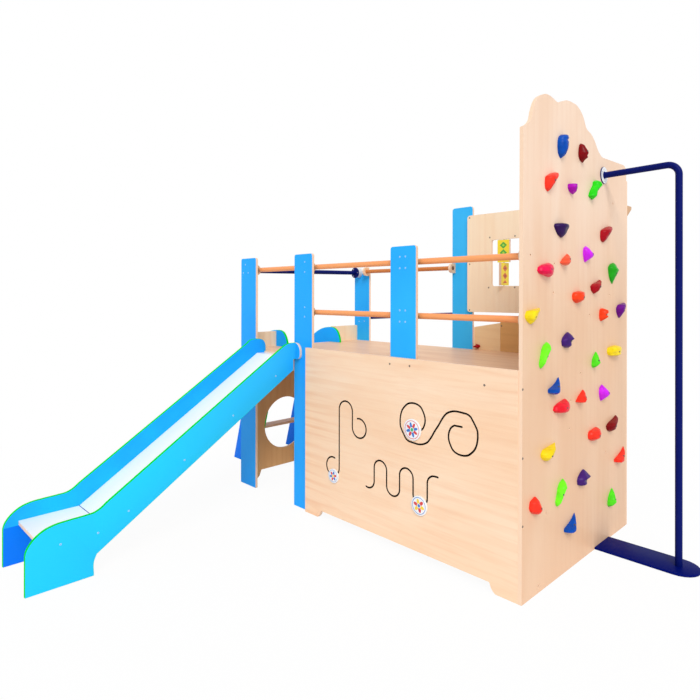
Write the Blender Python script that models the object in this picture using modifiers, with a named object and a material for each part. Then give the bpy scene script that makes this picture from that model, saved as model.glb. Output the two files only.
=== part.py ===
# Wooden play ship: a raised deck on plywood posts with a slide, a stair, a climbing wall,
# a groove board with three discs, a window with two turning plates, and steel bars.
# Metres, +Z up. X runs along the groove board, Y runs from the front of the ship to its back.
import math

import bmesh
import bpy
from mathutils import Euler, Matrix, Vector

# Sheet material and the clearance between faces that touch
PLY = 0.018
GAP = 0.0003

# Posts: left edges along X, one width, three heights
POST_WIDTH = 0.177
POST_LEFT_WIDTH = 0.185
POST_TOP = 1.625
POST_CORNER = 0.015
POST_LEFT_X = -0.754
POST_MIDDLE_X = -0.135
POST_RIGHT_X = 0.697
BACK_LEFT_X = -0.768
BACK_LEFT_TOP = 1.572
BACK_MIDDLE_X = 0.267
BACK_MIDDLE_TOP = 2.008
BACK_MIDDLE_CORNER = 0.020
WALL_POST_TOP = 2.053
SHORT_POST_LAP = 0.186

# Bay between the front row and the back row of posts, and the deck
BAY_DEPTH = 1.180
DECK_TOP = 0.972
BEAM_HEIGHT = 0.090

# Groove board
BOARD_LENGTH = 1.465
BOARD_TOP = 1.031
FOOT_LEFT = 0.120
FOOT_RIGHT = 0.113
FOOT_ARCH = 0.045
FOOT_SLANT = 0.031
SLOT_WIDTH = 0.0095

# Left groove: three bends of one radius, side by side
GROOVE_LEFT_X = 0.258
GROOVE_LEFT_LOW = 0.342
GROOVE_LEFT_HIGH = 0.690
GROOVE_LEFT_END = 0.605
GROOVE_LEFT_R = 0.055
GROOVE_LEFT_START = 72
GROOVE_LEFT_STOP = 464

# Middle groove: a half loop, turned half round about its centre for the other half
GROOVE_MIDDLE_X = 1.0217
GROOVE_MIDDLE_Z = 0.700
GROOVE_MIDDLE_RUN = 0.044
GROOVE_MIDDLE_START = (-0.1497, -0.032)
GROOVE_MIDDLE_LOOP = (
    (-0.077, 0.001), (-0.072, 0.031), (-0.084, 0.068), (-0.101, 0.091), (-0.126, 0.102),
    (-0.155, 0.104), (-0.184, 0.097), (-0.206, 0.080), (-0.224, 0.058), (-0.234, 0.031),
    (-0.238, -0.007), (-0.236, -0.028), (-0.226, -0.048), (-0.212, -0.070), (-0.196, -0.090),
    (-0.178, -0.098), (-0.158, -0.100), (-0.096, -0.099), (-0.074, -0.091), (-0.058, -0.081),
    (-0.038, -0.058), (-0.022, -0.033), (-0.010, -0.014),
)

# Right groove: a row of bends of one radius between two levels
GROOVE_RIGHT_X = 0.550
GROOVE_RIGHT_LOW = 0.334
GROOVE_RIGHT_HIGH = 0.411
GROOVE_RIGHT_R = 0.046
GROOVE_RIGHT_START = -110
GROOVE_RIGHT_TAIL = 0.020

# Discs that run in the grooves
DISC_THICK = 0.010
DISC_LEFT_R = 0.042
DISC_MIDDLE_R = 0.0555
DISC_RIGHT_R = 0.050
DISC_LEFT_REST = 283
DISC_RIGHT_REST = 270
STEM_R = 0.003
WASHER_R = 0.013
WASHER_THICK = 0.003

# Climbing wall: how far it runs past the back posts, and its wavy top as (depth, height) points
WALL_PAST_POSTS = 0.022
WALL_TOP = (
    (0.012, 2.110), (0.057, 2.132), (0.081, 2.154), (0.098, 2.198), (0.134, 2.259),
    (0.175, 2.287), (0.220, 2.305), (0.262, 2.308), (0.300, 2.303), (0.344, 2.296),
    (0.385, 2.310), (0.434, 2.327), (0.490, 2.334), (0.551, 2.333), (0.600, 2.316),
    (0.636, 2.290), (0.675, 2.240), (0.740, 2.219), (0.785, 2.190), (0.825, 2.152),
    (0.858, 2.132), (0.894, 2.123), (1.176, 2.131), (1.208, 2.129), (1.228, 2.119), (1.238, 2.098),
)

# Climbing holds: size of each kind (width, height, depth)
HOLD_KINDS = {
    "pear": (0.067, 0.130, 0.046),
    "egg": (0.083, 0.106, 0.048),
    "long": (0.048, 0.103, 0.044),
    "small": (0.041, 0.051, 0.034),
    "round": (0.078, 0.081, 0.046),
    "button": (0.060, 0.066, 0.040),
    "bud": (0.044, 0.034, 0.036),
    "wide": (0.101, 0.069, 0.046),
    "heart": (0.097, 0.077, 0.044),
    "wedge": (0.064, 0.090, 0.046),
    "peanut": (0.085, 0.115, 0.046),
}
# Where they sit on the wall, along Y and Z; the first group are pieces of their own
HOLDS_LOOSE = {
    "hold_blue_pear": ("pear", 0.335, 2.075),
    "hold_green_peanut": ("peanut", 0.705, 1.915),
    "hold_plum_heart": ("heart", 0.315, 1.675),
    "hold_crimson_wide": ("wide", 0.155, 1.480),
    "hold_yellow_round": ("round", 0.030, 1.275),
    "hold_lime_pear": ("pear", 0.150, 1.090),
}
HOLDS_ON_WALL = (
    ("long", 0.560, 2.085), ("egg", 0.210, 1.890), ("small", 0.435, 1.890), ("egg", 0.855, 1.695),
    ("button", 0.355, 1.540), ("pear", 0.955, 1.500), ("round", 0.720, 1.410),
    ("button", 0.505, 1.355), ("button", 0.825, 1.260), ("long", 1.070, 1.280),
    ("round", 0.380, 1.145), ("long", 0.720, 1.025), ("wide", 0.970, 1.055),
    ("round", 0.240, 0.935), ("button", 0.535, 0.850), ("wedge", 0.835, 0.840),
    ("wide", 0.315, 0.835), ("round", 0.935, 0.650), ("button", 0.705, 0.640),
    ("round", 0.175, 0.640), ("round", 1.050, 0.455), ("round", 0.565, 0.440),
    ("pear", 0.315, 0.425), ("long", 0.935, 0.245), ("round", 0.065, 0.430),
    ("round", 0.415, 0.245), ("wedge", 0.625, 1.575),
)
HOLD_SINK = 0.004

# Wooden rails and the ring lugs that hold them
RAIL_R = 0.016
RAIL_OFFSET = 0.032
RAIL_UPPER_Z = 1.541
RAIL_LOWER_Z = 1.254
RAIL_BACK_Z = 1.563
LUG_R = 0.036
LUG_INSET_LEFT = 0.108
LUG_INSET_BACK_LEFT = 0.160
LUG_INSET_MIDDLE = 0.095
LUG_SPACING = 0.040
LUG_INSET_BACK = 0.010

# End panel with a porthole and the stair opening
END_PANEL_ARCH = 0.055
PORTHOLE_R = 0.195
PORTHOLE_Y = 0.393
PORTHOLE_Z = 0.3785
BARRIER_NEAR = 0.114
BARRIER_FAR = 0.128

# Stair
STAIR_REACH = 0.5907
STRINGER_LENGTH = 0.7205
STRINGER_NEAR_SHIFT = 0.023
STRINGER_NEAR_Y = 0.304
STRINGER_FAR_Y = 0.865
TREAD_DEPTH = 0.095
TREAD_RISE = 0.324
TREAD_NOSE_LOW = 0.165
TREAD_NOSE_HIGH = 0.006
STRINGER_FOOT = 0.320

# Slide
SLIDE_WIDTH = 0.3755
SLIDE_REACH = 1.565
SLIDE_BEND_Y = 1.205
SLIDE_BEND_Z = 0.216
SLIDE_HEAD_Y = 0.045
SLIDE_HEAD_DROP = 0.009
SLIDE_SIDE_INSET = 0.040
SIDE_ABOVE = 0.121
SIDE_BELOW = 0.085
SIDE_END_Y = 0.038
SIDE_HEAD_ABOVE = 0.084
SHEET_THICK = 0.004
RUNOUT_END = 0.069
SLIDE_LUG_WIDTH = 0.079
SLIDE_LUG_HEIGHT = 0.104

# Window panel with the axle and its two turning plates
WINDOW_PANEL_X = 0.410
WINDOW_PANEL_LOW = 1.243
WINDOW_PANEL_TOP = 1.938
WINDOW_LEFT = 0.609
WINDOW_RIGHT = 1.258
WINDOW_LOW = 1.427
WINDOW_HIGH = 1.750
AXLE_X = 0.702
AXLE_R = 0.004
AXLE_SOCKET = 0.010
PLATE_WIDTH = 0.091
PLATE_GAP = 0.004
PLATE_TURN = 85.5

# Toe boards behind the deck
TOE_SPLIT = 0.213
TOE_LAP = 0.110
TOE_TOP = 0.198
TOE_SLOPE = 0.037
TOE_DARK_TOP = 0.205

# One more hold, on the light toe board beside the tall post
INNER_HOLD_INSET = 0.030
INNER_HOLD_RISE = 0.023

# Steel bars
PIPE_R = 0.0168
FLANGE_R = 0.046
FLANGE_THICK = 0.006
GRAB_BAR_X = 0.054
GRAB_BAR_NEAR_Z = 1.538
GRAB_BAR_FAR_Z = 1.555
SPACER_R = 0.040
SPACER_DEPTH = 0.045
REAR_BAR_X = 0.088
REAR_BAR_Z = 1.167
REAR_BAR_RUN = 1.507
REAR_BEND = 0.120
REAR_FOOT_R = 0.060
POLE_OUT = 0.3777
POLE_Y = 0.860
POLE_ARM_Y = 0.880
POLE_TOP = 2.026
POLE_BEND = 0.055
POLE_PLATE_R = 0.096
POLE_PLATE_THICK = 0.012

# Small wedge on the wall's post
WEDGE_Z = 1.868
WEDGE_HEIGHT = 0.066
WEDGE_DEPTH = 0.070

# Facets of round pieces, and the step of an arc in degrees
ROUND_SIDES = 48
PIPE_FACETS = 6
ARC_STEP = 15

# Planes and places that follow from the sizes above
BOARD_BACK = -GAP
BOARD_FRONT = BOARD_BACK - PLY
FRONT_INNER = PLY + GAP
BACK_FRONT = BAY_DEPTH
BACK_INNER = BAY_DEPTH - GAP
BACK_REAR = BAY_DEPTH + PLY
DECK_UNDER = DECK_TOP - PLY
TOE_FRONT = BACK_REAR + GAP
END_OUTER = POST_LEFT_X
END_INNER = END_OUTER + PLY
WALL_FAR = BACK_REAR + WALL_PAST_POSTS
WALL_INNER = BOARD_LENGTH + GAP
WALL_OUTER = WALL_INNER + PLY
POLE_X = WALL_OUTER + POLE_OUT
SLOPE = (DECK_TOP - SLIDE_HEAD_DROP - SLIDE_BEND_Z) / (SLIDE_BEND_Y - SLIDE_HEAD_Y)
SLOPE_LENGTH = math.hypot(1.0, SLOPE)
SLIDE_NEAR_X = POST_MIDDLE_X + SLIDE_SIDE_INSET
REAR_LEG_Y = BACK_REAR + REAR_BAR_RUN
SHIP_X = (END_OUTER - GAP - STAIR_REACH + POLE_X + POLE_PLATE_R) / 2
SHIP_Y = (REAR_LEG_Y + REAR_FOOT_R - SLIDE_REACH) / 2

# Finishes: colour, roughness, metallic
FINISHES = {
    "blue": ((0.021, 0.352, 0.956), 0.45, 0.0),
    "birch": ((0.871, 0.591, 0.371), 0.60, 0.0),
    "wall": ((0.871, 0.723, 0.610), 0.55, 0.0),
    "deck": ((0.610, 0.451, 0.323), 0.65, 0.0),
    "rail": ((0.871, 0.323, 0.112), 0.45, 0.0),
    "steel": ((0.002, 0.008, 0.100), 0.22, 0.6),
    "white": ((0.860, 0.870, 0.880), 0.35, 0.0),
    "yellow": ((0.871, 0.680, 0.010), 0.40, 0.0),
    "brown": ((0.240, 0.120, 0.060), 0.60, 0.0),
    "axle": ((0.600, 0.600, 0.620), 0.30, 1.0),
}
HOLD_COLOURS = {
    "hold_blue_pear": (0.010, 0.130, 0.700),
    "hold_green_peanut": (0.020, 0.350, 0.060),
    "hold_plum_heart": (0.060, 0.020, 0.130),
    "hold_crimson_wide": (0.600, 0.010, 0.060),
    "hold_red_inner": (0.260, 0.005, 0.010),
    "hold_yellow_round": (0.871, 0.620, 0.010),
    "hold_lime_pear": (0.250, 0.600, 0.050),
}

# Turns that stand a drawing up: drawn x, y become X, Z or Y, Z
FRONT = Euler((math.pi / 2, 0.0, 0.0))
SIDE = Euler((math.pi / 2, 0.0, math.pi / 2))
FLAT = Euler((0.0, 0.0, 0.0))
TOWARDS_FRONT = Euler((0.0, 0.0, -math.pi / 2))


def clear_scene():
    for item in list(bpy.data.objects):
        bpy.data.objects.remove(item)


def collection(name):
    group = bpy.data.collections.new(name)
    bpy.context.scene.collection.children.link(group)
    return group


clear_scene()
SHIP = collection("play_ship")
CUTTERS = collection("cutters")
ROOT = bpy.data.objects.new("ship_origin", None)
ROOT.location = (-SHIP_X, -SHIP_Y, 0.0)
SHIP.objects.link(ROOT)


def paint(name, colour, roughness, metallic):
    """A Principled material of the piece's own."""
    mat = bpy.data.materials.new(name)
    mat.use_nodes = True
    shader = mat.node_tree.nodes["Principled BSDF"]
    shader.inputs["Base Color"].default_value = (*colour, 1.0)
    shader.inputs["Roughness"].default_value = roughness
    shader.inputs["Metallic"].default_value = metallic
    return mat


def add_piece(name, data, finish, location=(0.0, 0.0, 0.0), turn=FLAT, parent=None):
    """Put a mesh or curve into the ship under its origin empty."""
    piece = bpy.data.objects.new(name, data)
    piece.location = location
    piece.rotation_euler = turn
    piece.parent = parent or ROOT
    SHIP.objects.link(piece)
    colour, roughness, metallic = finish if isinstance(finish, tuple) else FINISHES[finish]
    data.materials.append(paint(name, colour, roughness, metallic))
    return piece


def helper(name, data, location=(0.0, 0.0, 0.0), turn=FLAT):
    """A shape that only cuts or joins another one."""
    shape = bpy.data.objects.new(name, data)
    shape.location = location
    shape.rotation_euler = turn
    shape.parent = ROOT
    shape.hide_render = True
    shape.display_type = "WIRE"
    CUTTERS.objects.link(shape)
    return shape


def boolean(piece, shape, operation):
    step = piece.modifiers.new(operation.lower(), "BOOLEAN")
    step.operation = operation
    step.solver = "EXACT"
    step.object = shape


def outline_curve(name, loops, thick):
    """A flat board: the first loop is its edge, further loops are openings."""
    data = bpy.data.curves.new(name, "CURVE")
    data.dimensions = "2D"
    data.fill_mode = "BOTH"
    data.extrude = thick / 2
    for loop in loops:
        spline = data.splines.new("POLY")
        spline.points.add(len(loop) - 1)
        for point, (u, v) in zip(spline.points, loop):
            point.co = (u, v, 0.0, 1.0)
        spline.use_cyclic_u = True
    return data


def board(name, loops, turn, middle, finish, thick=PLY):
    """A board in a front, side or flat plane, with its middle plane at one coordinate."""
    place = {"FRONT": (0.0, middle, 0.0), "SIDE": (middle, 0.0, 0.0), "FLAT": (0.0, 0.0, middle)}
    turns = {"FRONT": FRONT, "SIDE": SIDE, "FLAT": FLAT}
    return add_piece(name, outline_curve(name, loops, thick), finish, place[turn], turns[turn])


def as_mesh(piece):
    """Swap a curve piece for the welded mesh of its shape, so that it can be cut or joined."""
    bpy.context.view_layer.update()
    graph = bpy.context.evaluated_depsgraph_get()
    mesh = bpy.data.meshes.new_from_object(piece.evaluated_get(graph))
    work = bmesh.new()
    work.from_mesh(mesh)
    bmesh.ops.remove_doubles(work, verts=work.verts, dist=0.00002)
    work.to_mesh(mesh)
    work.free()
    name = piece.name
    solid = bpy.data.objects.new(name, mesh)
    solid.matrix_world = piece.matrix_world.copy()
    solid.parent = piece.parent
    solid.matrix_parent_inverse = piece.parent.matrix_world.inverted()
    for group in piece.users_collection:
        group.objects.link(solid)
    bpy.data.objects.remove(piece)
    solid.name = name
    return solid


def box_mesh(name, size):
    mesh = bpy.data.meshes.new(name)
    work = bmesh.new()
    bmesh.ops.create_cube(work, size=1.0, matrix=Matrix.Diagonal((*size, 1.0)))
    work.to_mesh(mesh)
    work.free()
    return mesh


def box(name, low, high, finish):
    size = Vector(high) - Vector(low)
    centre = (Vector(high) + Vector(low)) / 2
    return add_piece(name, box_mesh(name, size), finish, centre)


def cylinder_mesh(name, radius, length, sides=ROUND_SIDES):
    mesh = bpy.data.meshes.new(name)
    work = bmesh.new()
    bmesh.ops.create_cone(work, cap_ends=True, segments=sides, radius1=radius, radius2=radius, depth=length)
    work.to_mesh(mesh)
    work.free()
    mesh.shade_smooth()
    mesh.set_sharp_from_angle(angle=math.radians(40))
    return mesh


def tube_curve(name, points, radius):
    """A round bar along straight runs and bends, with closed ends."""
    data = bpy.data.curves.new(name, "CURVE")
    data.dimensions = "3D"
    data.bevel_depth = radius
    data.bevel_resolution = PIPE_FACETS
    data.use_fill_caps = True
    spline = data.splines.new("POLY")
    spline.points.add(len(points) - 1)
    for point, place in zip(spline.points, points):
        point.co = (*place, 1.0)
    return data


def arc(centre, radius, start, stop):
    """Points of an arc between two angles in degrees."""
    count = max(2, math.ceil(abs(stop - start) / ARC_STEP))
    angles = [math.radians(start + (stop - start) * i / count) for i in range(count + 1)]
    return [(centre[0] + radius * math.cos(a), centre[1] + radius * math.sin(a)) for a in angles]


def circle(centre, radius):
    angles = [2 * math.pi * i / ROUND_SIDES for i in range(ROUND_SIDES)]
    return [(centre[0] + radius * math.cos(a), centre[1] + radius * math.sin(a)) for a in angles]


def clear_circle(centre, radius):
    """A faceted hole whose flats clear a round bar by the gap."""
    return circle(centre, (radius + GAP) / math.cos(math.pi / ROUND_SIDES))


def rectangle(low, high, radii=(0.0, 0.0, 0.0, 0.0)):
    """A rectangle; radii round its corners from lower left, going round to upper left."""
    corners = ((low[0], low[1]), (high[0], low[1]), (high[0], high[1]), (low[0], high[1]))
    signs = ((1, 1), (-1, 1), (-1, -1), (1, -1))
    points = []
    for i in range(4):
        if radii[i] > 0:
            centre = (corners[i][0] + signs[i][0] * radii[i], corners[i][1] + signs[i][1] * radii[i])
            points += arc(centre, radii[i], 180 + 90 * i, 270 + 90 * i)
        else:
            points.append(corners[i])
    return points


def slot_loop(path, width):
    """The outline of a slot of one width along a path, with round ends."""
    half = width / 2
    left, right = [], []
    for i, point in enumerate(path):
        before = Vector(path[max(i - 1, 0)])
        after = Vector(path[min(i + 1, len(path) - 1)])
        along = (after - before).normalized()
        across = Vector((-along.y, along.x)) * half
        left.append(tuple(Vector(point) + across))
        right.append(tuple(Vector(point) - across))
    head = Vector(path[-1]) - Vector(path[-2])
    tail = Vector(path[0]) - Vector(path[1])
    head_angle = math.degrees(math.atan2(head.y, head.x))
    tail_angle = math.degrees(math.atan2(tail.y, tail.x))
    nose = arc(path[-1], half, head_angle - 60, head_angle + 60)
    back = arc(path[0], half, tail_angle - 60, tail_angle + 60)
    return right + nose + left[::-1] + back


def left_groove():
    """Hook at the bottom, run up, over the top and round a second hook."""
    r = GROOVE_LEFT_R
    path = arc((GROOVE_LEFT_X, GROOVE_LEFT_LOW), r, GROOVE_LEFT_START, 360)
    path += arc((GROOVE_LEFT_X + 2 * r, GROOVE_LEFT_HIGH), r, 180, 0)
    path += arc((GROOVE_LEFT_X + 4 * r, GROOVE_LEFT_END), r, 180, GROOVE_LEFT_STOP)
    return path


def middle_groove():
    """A loop round a straight start, and the same turned half round."""
    start_x, start_z = GROOVE_MIDDLE_START
    half = [(start_x, start_z), (start_x + GROOVE_MIDDLE_RUN, start_z), (start_x + 0.062, start_z + 0.014)]
    half += list(GROOVE_MIDDLE_LOOP)
    whole = half + [(0.0, 0.0)] + [(-x, -z) for x, z in reversed(half)]
    return [(GROOVE_MIDDLE_X + x, GROOVE_MIDDLE_Z + z) for x, z in whole]


def right_groove():
    """Waves: over the top at the high level, under at the low level."""
    r = GROOVE_RIGHT_R
    path = arc((GROOVE_RIGHT_X, GROOVE_RIGHT_LOW), r, GROOVE_RIGHT_START, 0)
    for i in range(1, 5):
        x = GROOVE_RIGHT_X + 2 * r * i
        over = i % 2 == 1
        level = GROOVE_RIGHT_HIGH if over else GROOVE_RIGHT_LOW
        path += arc((x, level), r, 180, 0 if over else 360)
    last = (GROOVE_RIGHT_X + 10 * r, GROOVE_RIGHT_HIGH)
    path += arc(last, r, 180, 90)
    path.append((last[0] + GROOVE_RIGHT_TAIL, GROOVE_RIGHT_HIGH + r))
    return path


def make_posts():
    """Six flat posts with rounded tops; the short one hangs behind the groove board."""
    front = PLY / 2
    back = BACK_FRONT + PLY / 2
    rows = (
        ("post_front_left", POST_LEFT_X, 0.0, POST_TOP, front),
        ("post_front_middle", POST_MIDDLE_X, 0.0, POST_TOP, front),
        ("post_front_right", POST_RIGHT_X, BOARD_TOP - SHORT_POST_LAP, POST_TOP, front),
        ("post_back_left", BACK_LEFT_X, 0.0, BACK_LEFT_TOP, back),
        ("post_back_middle", BACK_MIDDLE_X, 0.0, BACK_MIDDLE_TOP, back),
        ("post_wall", WALL_OUTER - POST_WIDTH, 0.0, WALL_POST_TOP, WALL_FAR + GAP + PLY / 2),
    )
    for name, x, low, top, middle in rows:
        finish = "birch" if name == "post_wall" else "blue"
        width = POST_LEFT_WIDTH if name == "post_front_left" else POST_WIDTH
        corner = BACK_MIDDLE_CORNER if name == "post_back_middle" else POST_CORNER
        post = board(name, [rectangle((x, low), (x + width, top), (0.0, 0.0, corner, corner))], "FRONT", middle, finish)
        if name == "post_back_left":
            depth = SPACER_DEPTH + PLY / 2
            spot = (x + GRAB_BAR_X, BACK_FRONT + PLY / 2 - depth / 2, GRAB_BAR_FAR_Z)
            flange(as_mesh(post), "grab_spacer", spot, FRONT, SPACER_R, depth)


def make_groove_board():
    """The front board with its two feet and three grooves."""
    edge = [(0.0, 0.0), (FOOT_LEFT, 0.0), (FOOT_LEFT + FOOT_SLANT * 0.5, FOOT_ARCH * 0.3),
            (FOOT_LEFT + FOOT_SLANT, FOOT_ARCH)]
    right = BOARD_LENGTH - FOOT_RIGHT
    edge += [(right - FOOT_SLANT, FOOT_ARCH), (right - FOOT_SLANT * 0.5, FOOT_ARCH * 0.3), (right, 0.0)]
    edge += [(BOARD_LENGTH, 0.0), (BOARD_LENGTH, BOARD_TOP), (0.0, BOARD_TOP)]
    grooves = [slot_loop(path, SLOT_WIDTH) for path in (left_groove(), middle_groove(), right_groove())]
    board("groove_board", [edge] + grooves, "FRONT", BOARD_BACK - PLY / 2, "birch")


def disc_mesh(name, radius):
    """A disc, its stem through the slot and a washer behind, turned as one profile."""
    front = BOARD_FRONT - GAP
    rear = BOARD_BACK + GAP
    profile = (
        (0.0, DISC_THICK - front), (radius - 0.001, DISC_THICK - front), (radius, DISC_THICK - 0.001 - front),
        (radius, -front), (STEM_R, -front), (STEM_R, -rear), (WASHER_R, -rear),
        (WASHER_R, -rear - WASHER_THICK), (0.0, -rear - WASHER_THICK),
    )
    mesh = bpy.data.meshes.new(name)
    work = bmesh.new()
    corners = [work.verts.new((x, 0.0, z)) for x, z in profile]
    for first, second in zip(corners, corners[1:]):
        work.edges.new((first, second))
    work.to_mesh(mesh)
    work.free()
    return mesh


def add_disc(name, radius, centre, pivot=None):
    """A disc at its place in the groove, under an empty on its pivot if it swings."""
    parent = ROOT
    place = Vector((centre[0], 0.0, centre[1]))
    if pivot:
        parent = bpy.data.objects.new(name + "_pivot", None)
        parent.location = (pivot[0], 0.0, pivot[1])
        parent.parent = ROOT
        SHIP.objects.link(parent)
        place -= parent.location
    disc = add_piece(name, disc_mesh(name, radius), "white", place, FRONT, parent)
    turn = disc.modifiers.new("turned", "SCREW")
    turn.axis = "Z"
    turn.steps = ROUND_SIDES
    turn.render_steps = ROUND_SIDES
    turn.use_merge_vertices = True
    turn.merge_threshold = 0.00005
    turn.use_smooth_shade = False


def make_discs():
    left = (GROOVE_LEFT_X, GROOVE_LEFT_LOW)
    right = (GROOVE_RIGHT_X + 8 * GROOVE_RIGHT_R, GROOVE_RIGHT_LOW)
    spot = math.radians(DISC_LEFT_REST)
    add_disc("disc_left", DISC_LEFT_R,
             (left[0] + GROOVE_LEFT_R * math.cos(spot), left[1] + GROOVE_LEFT_R * math.sin(spot)), left)
    add_disc("disc_middle", DISC_MIDDLE_R,
             (GROOVE_MIDDLE_X + GROOVE_MIDDLE_START[0], GROOVE_MIDDLE_Z + GROOVE_MIDDLE_START[1]))
    spot = math.radians(DISC_RIGHT_REST)
    add_disc("disc_right", DISC_RIGHT_R,
             (right[0] + GROOVE_RIGHT_R * math.cos(spot), right[1] + GROOVE_RIGHT_R * math.sin(spot)), right)


def hold_mesh(name, kind, back, place=(0.0, 0.0, 0.0)):
    """One climbing hold: a lumpy ball, cut flat at its back."""
    width, height, depth = HOLD_KINDS[kind]
    work = bmesh.new()
    bmesh.ops.create_icosphere(work, subdivisions=2, radius=1.0)
    for vert in work.verts:
        w, u, v = vert.co
        if kind == "pear":
            u *= 1.0 - 0.28 * v
        if kind == "peanut":
            u = u * (0.72 + 0.28 * v * v) + 0.28 * v
        if kind == "heart":
            v += 0.25 * abs(u) - 0.12
        if kind == "wedge":
            v *= 0.75 - 0.40 * u
        if kind == "wide":
            w *= 1.0 + 0.25 * v
        vert.co = (w * depth, u * width / 2, v * height / 2)
    cut = bmesh.ops.bisect_plane(work, geom=list(work.verts) + list(work.edges) + list(work.faces),
                                 dist=0.00001, plane_co=(back, 0.0, 0.0), plane_no=(1.0, 0.0, 0.0),
                                 clear_inner=True)
    rim = [item for item in cut["geom_cut"] if isinstance(item, bmesh.types.BMEdge)]
    bmesh.ops.holes_fill(work, edges=rim)
    bmesh.ops.recalc_face_normals(work, faces=work.faces)
    bmesh.ops.translate(work, verts=work.verts, vec=place)
    mesh = bpy.data.meshes.new(name)
    work.to_mesh(mesh)
    work.free()
    return mesh


def joined_holds(name):
    """All the holds that belong to the wall's own node, in one mesh."""
    work = bmesh.new()
    for kind, y, z in HOLDS_ON_WALL:
        work.from_mesh(hold_mesh(name, kind, -HOLD_SINK, (0.0, y, z)))
    mesh = bpy.data.meshes.new(name)
    work.to_mesh(mesh)
    work.free()
    return mesh


def make_climbing_wall():
    """The tall side wall with its wavy top; most holds are joined to it."""
    edge = [(BOARD_FRONT, 0.0), (WALL_FAR, 0.0)]
    edge += [(BOARD_FRONT + y * (WALL_FAR - BOARD_FRONT) / WALL_TOP[-1][0], z) for y, z in reversed(WALL_TOP)]
    wall = as_mesh(board("climbing_wall", [edge], "SIDE", WALL_INNER + PLY / 2, "wall"))
    boolean(wall, helper("wall_holds", joined_holds("wall_holds"), (WALL_OUTER, 0.0, 0.0)), "UNION")
    for name, row in HOLDS_LOOSE.items():
        mesh = hold_mesh(name, row[0], GAP)
        mesh.shade_smooth()
        mesh.set_sharp_from_angle(angle=math.radians(50))
        add_piece(name, mesh, (HOLD_COLOURS[name], 0.30, 0.0), (WALL_OUTER, row[1], row[2]))


def make_deck():
    """The deck board and the two beams that carry it."""
    low_x = END_INNER + GAP
    step_x = BACK_MIDDLE_X + POST_WIDTH + GAP
    edge = [(low_x, FRONT_INNER), (BOARD_LENGTH, FRONT_INNER), (BOARD_LENGTH, BACK_REAR), (step_x, BACK_REAR),
            (step_x, BACK_INNER), (low_x, BACK_INNER)]
    board("deck", [edge], "FLAT", (DECK_UNDER + DECK_TOP) / 2, "deck")
    beam_top = DECK_UNDER - GAP
    box("deck_beam_front", (low_x, FRONT_INNER, beam_top - BEAM_HEIGHT),
        (BOARD_LENGTH, FRONT_INNER + PLY, beam_top), "birch")
    box("deck_beam_back", (low_x, BACK_INNER - PLY, beam_top - BEAM_HEIGHT),
        (BOARD_LENGTH, BACK_INNER, beam_top), "birch")


def make_toe_boards():
    """Two boards on edge behind the deck, right of the tall back post."""
    left = BACK_MIDDLE_X + POST_WIDTH + GAP
    low = DECK_TOP - TOE_LAP
    top = DECK_TOP + TOE_TOP
    split = left + TOE_SPLIT
    light = [(left, low), (split, low), (split, top), (left, top - TOE_SLOPE)]
    board("toe_board_light", [light], "FRONT", TOE_FRONT + PLY / 2, "birch")
    dark = rectangle((split + GAP, low), (BOARD_LENGTH, DECK_TOP + TOE_DARK_TOP))
    board("toe_board_dark", [dark], "FRONT", TOE_FRONT + PLY / 2, "brown")
    name = "hold_red_inner"
    mesh = hold_mesh(name, "bud", GAP)
    mesh.shade_smooth()
    add_piece(name, mesh, (HOLD_COLOURS[name], 0.30, 0.0),
              (left + INNER_HOLD_INSET, TOE_FRONT, DECK_TOP + INNER_HOLD_RISE), TOWARDS_FRONT)


def lug(name, x, wall_y, rail_y, rail_z):
    """A D-shaped ring: its flat edge on a post, its hole round the rail."""
    side = 1 if rail_y > wall_y else -1
    flat = wall_y + side * GAP
    bend = arc((rail_y, rail_z), LUG_R, -90 if side > 0 else 270, 90)
    edge = [(flat, rail_z - LUG_R)] + bend + [(flat, rail_z + LUG_R)]
    board(name, [edge, clear_circle((rail_y, rail_z), RAIL_R)], "SIDE", x, "birch")


def wall_ring(name, rail_y, rail_z):
    """A round ring flat on the wall's inner face."""
    ring = [circle((rail_y, rail_z), LUG_R), clear_circle((rail_y, rail_z), RAIL_R)]
    board(name, ring, "SIDE", BOARD_LENGTH - GAP - PLY / 2, "birch")


def rail(name, x0, x1, y, z):
    """A round wooden rail along X."""
    add_piece(name, tube_curve(name, [(x0, 0.0, 0.0), (x1, 0.0, 0.0)], RAIL_R), "rail", (0.0, y, z))


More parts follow.
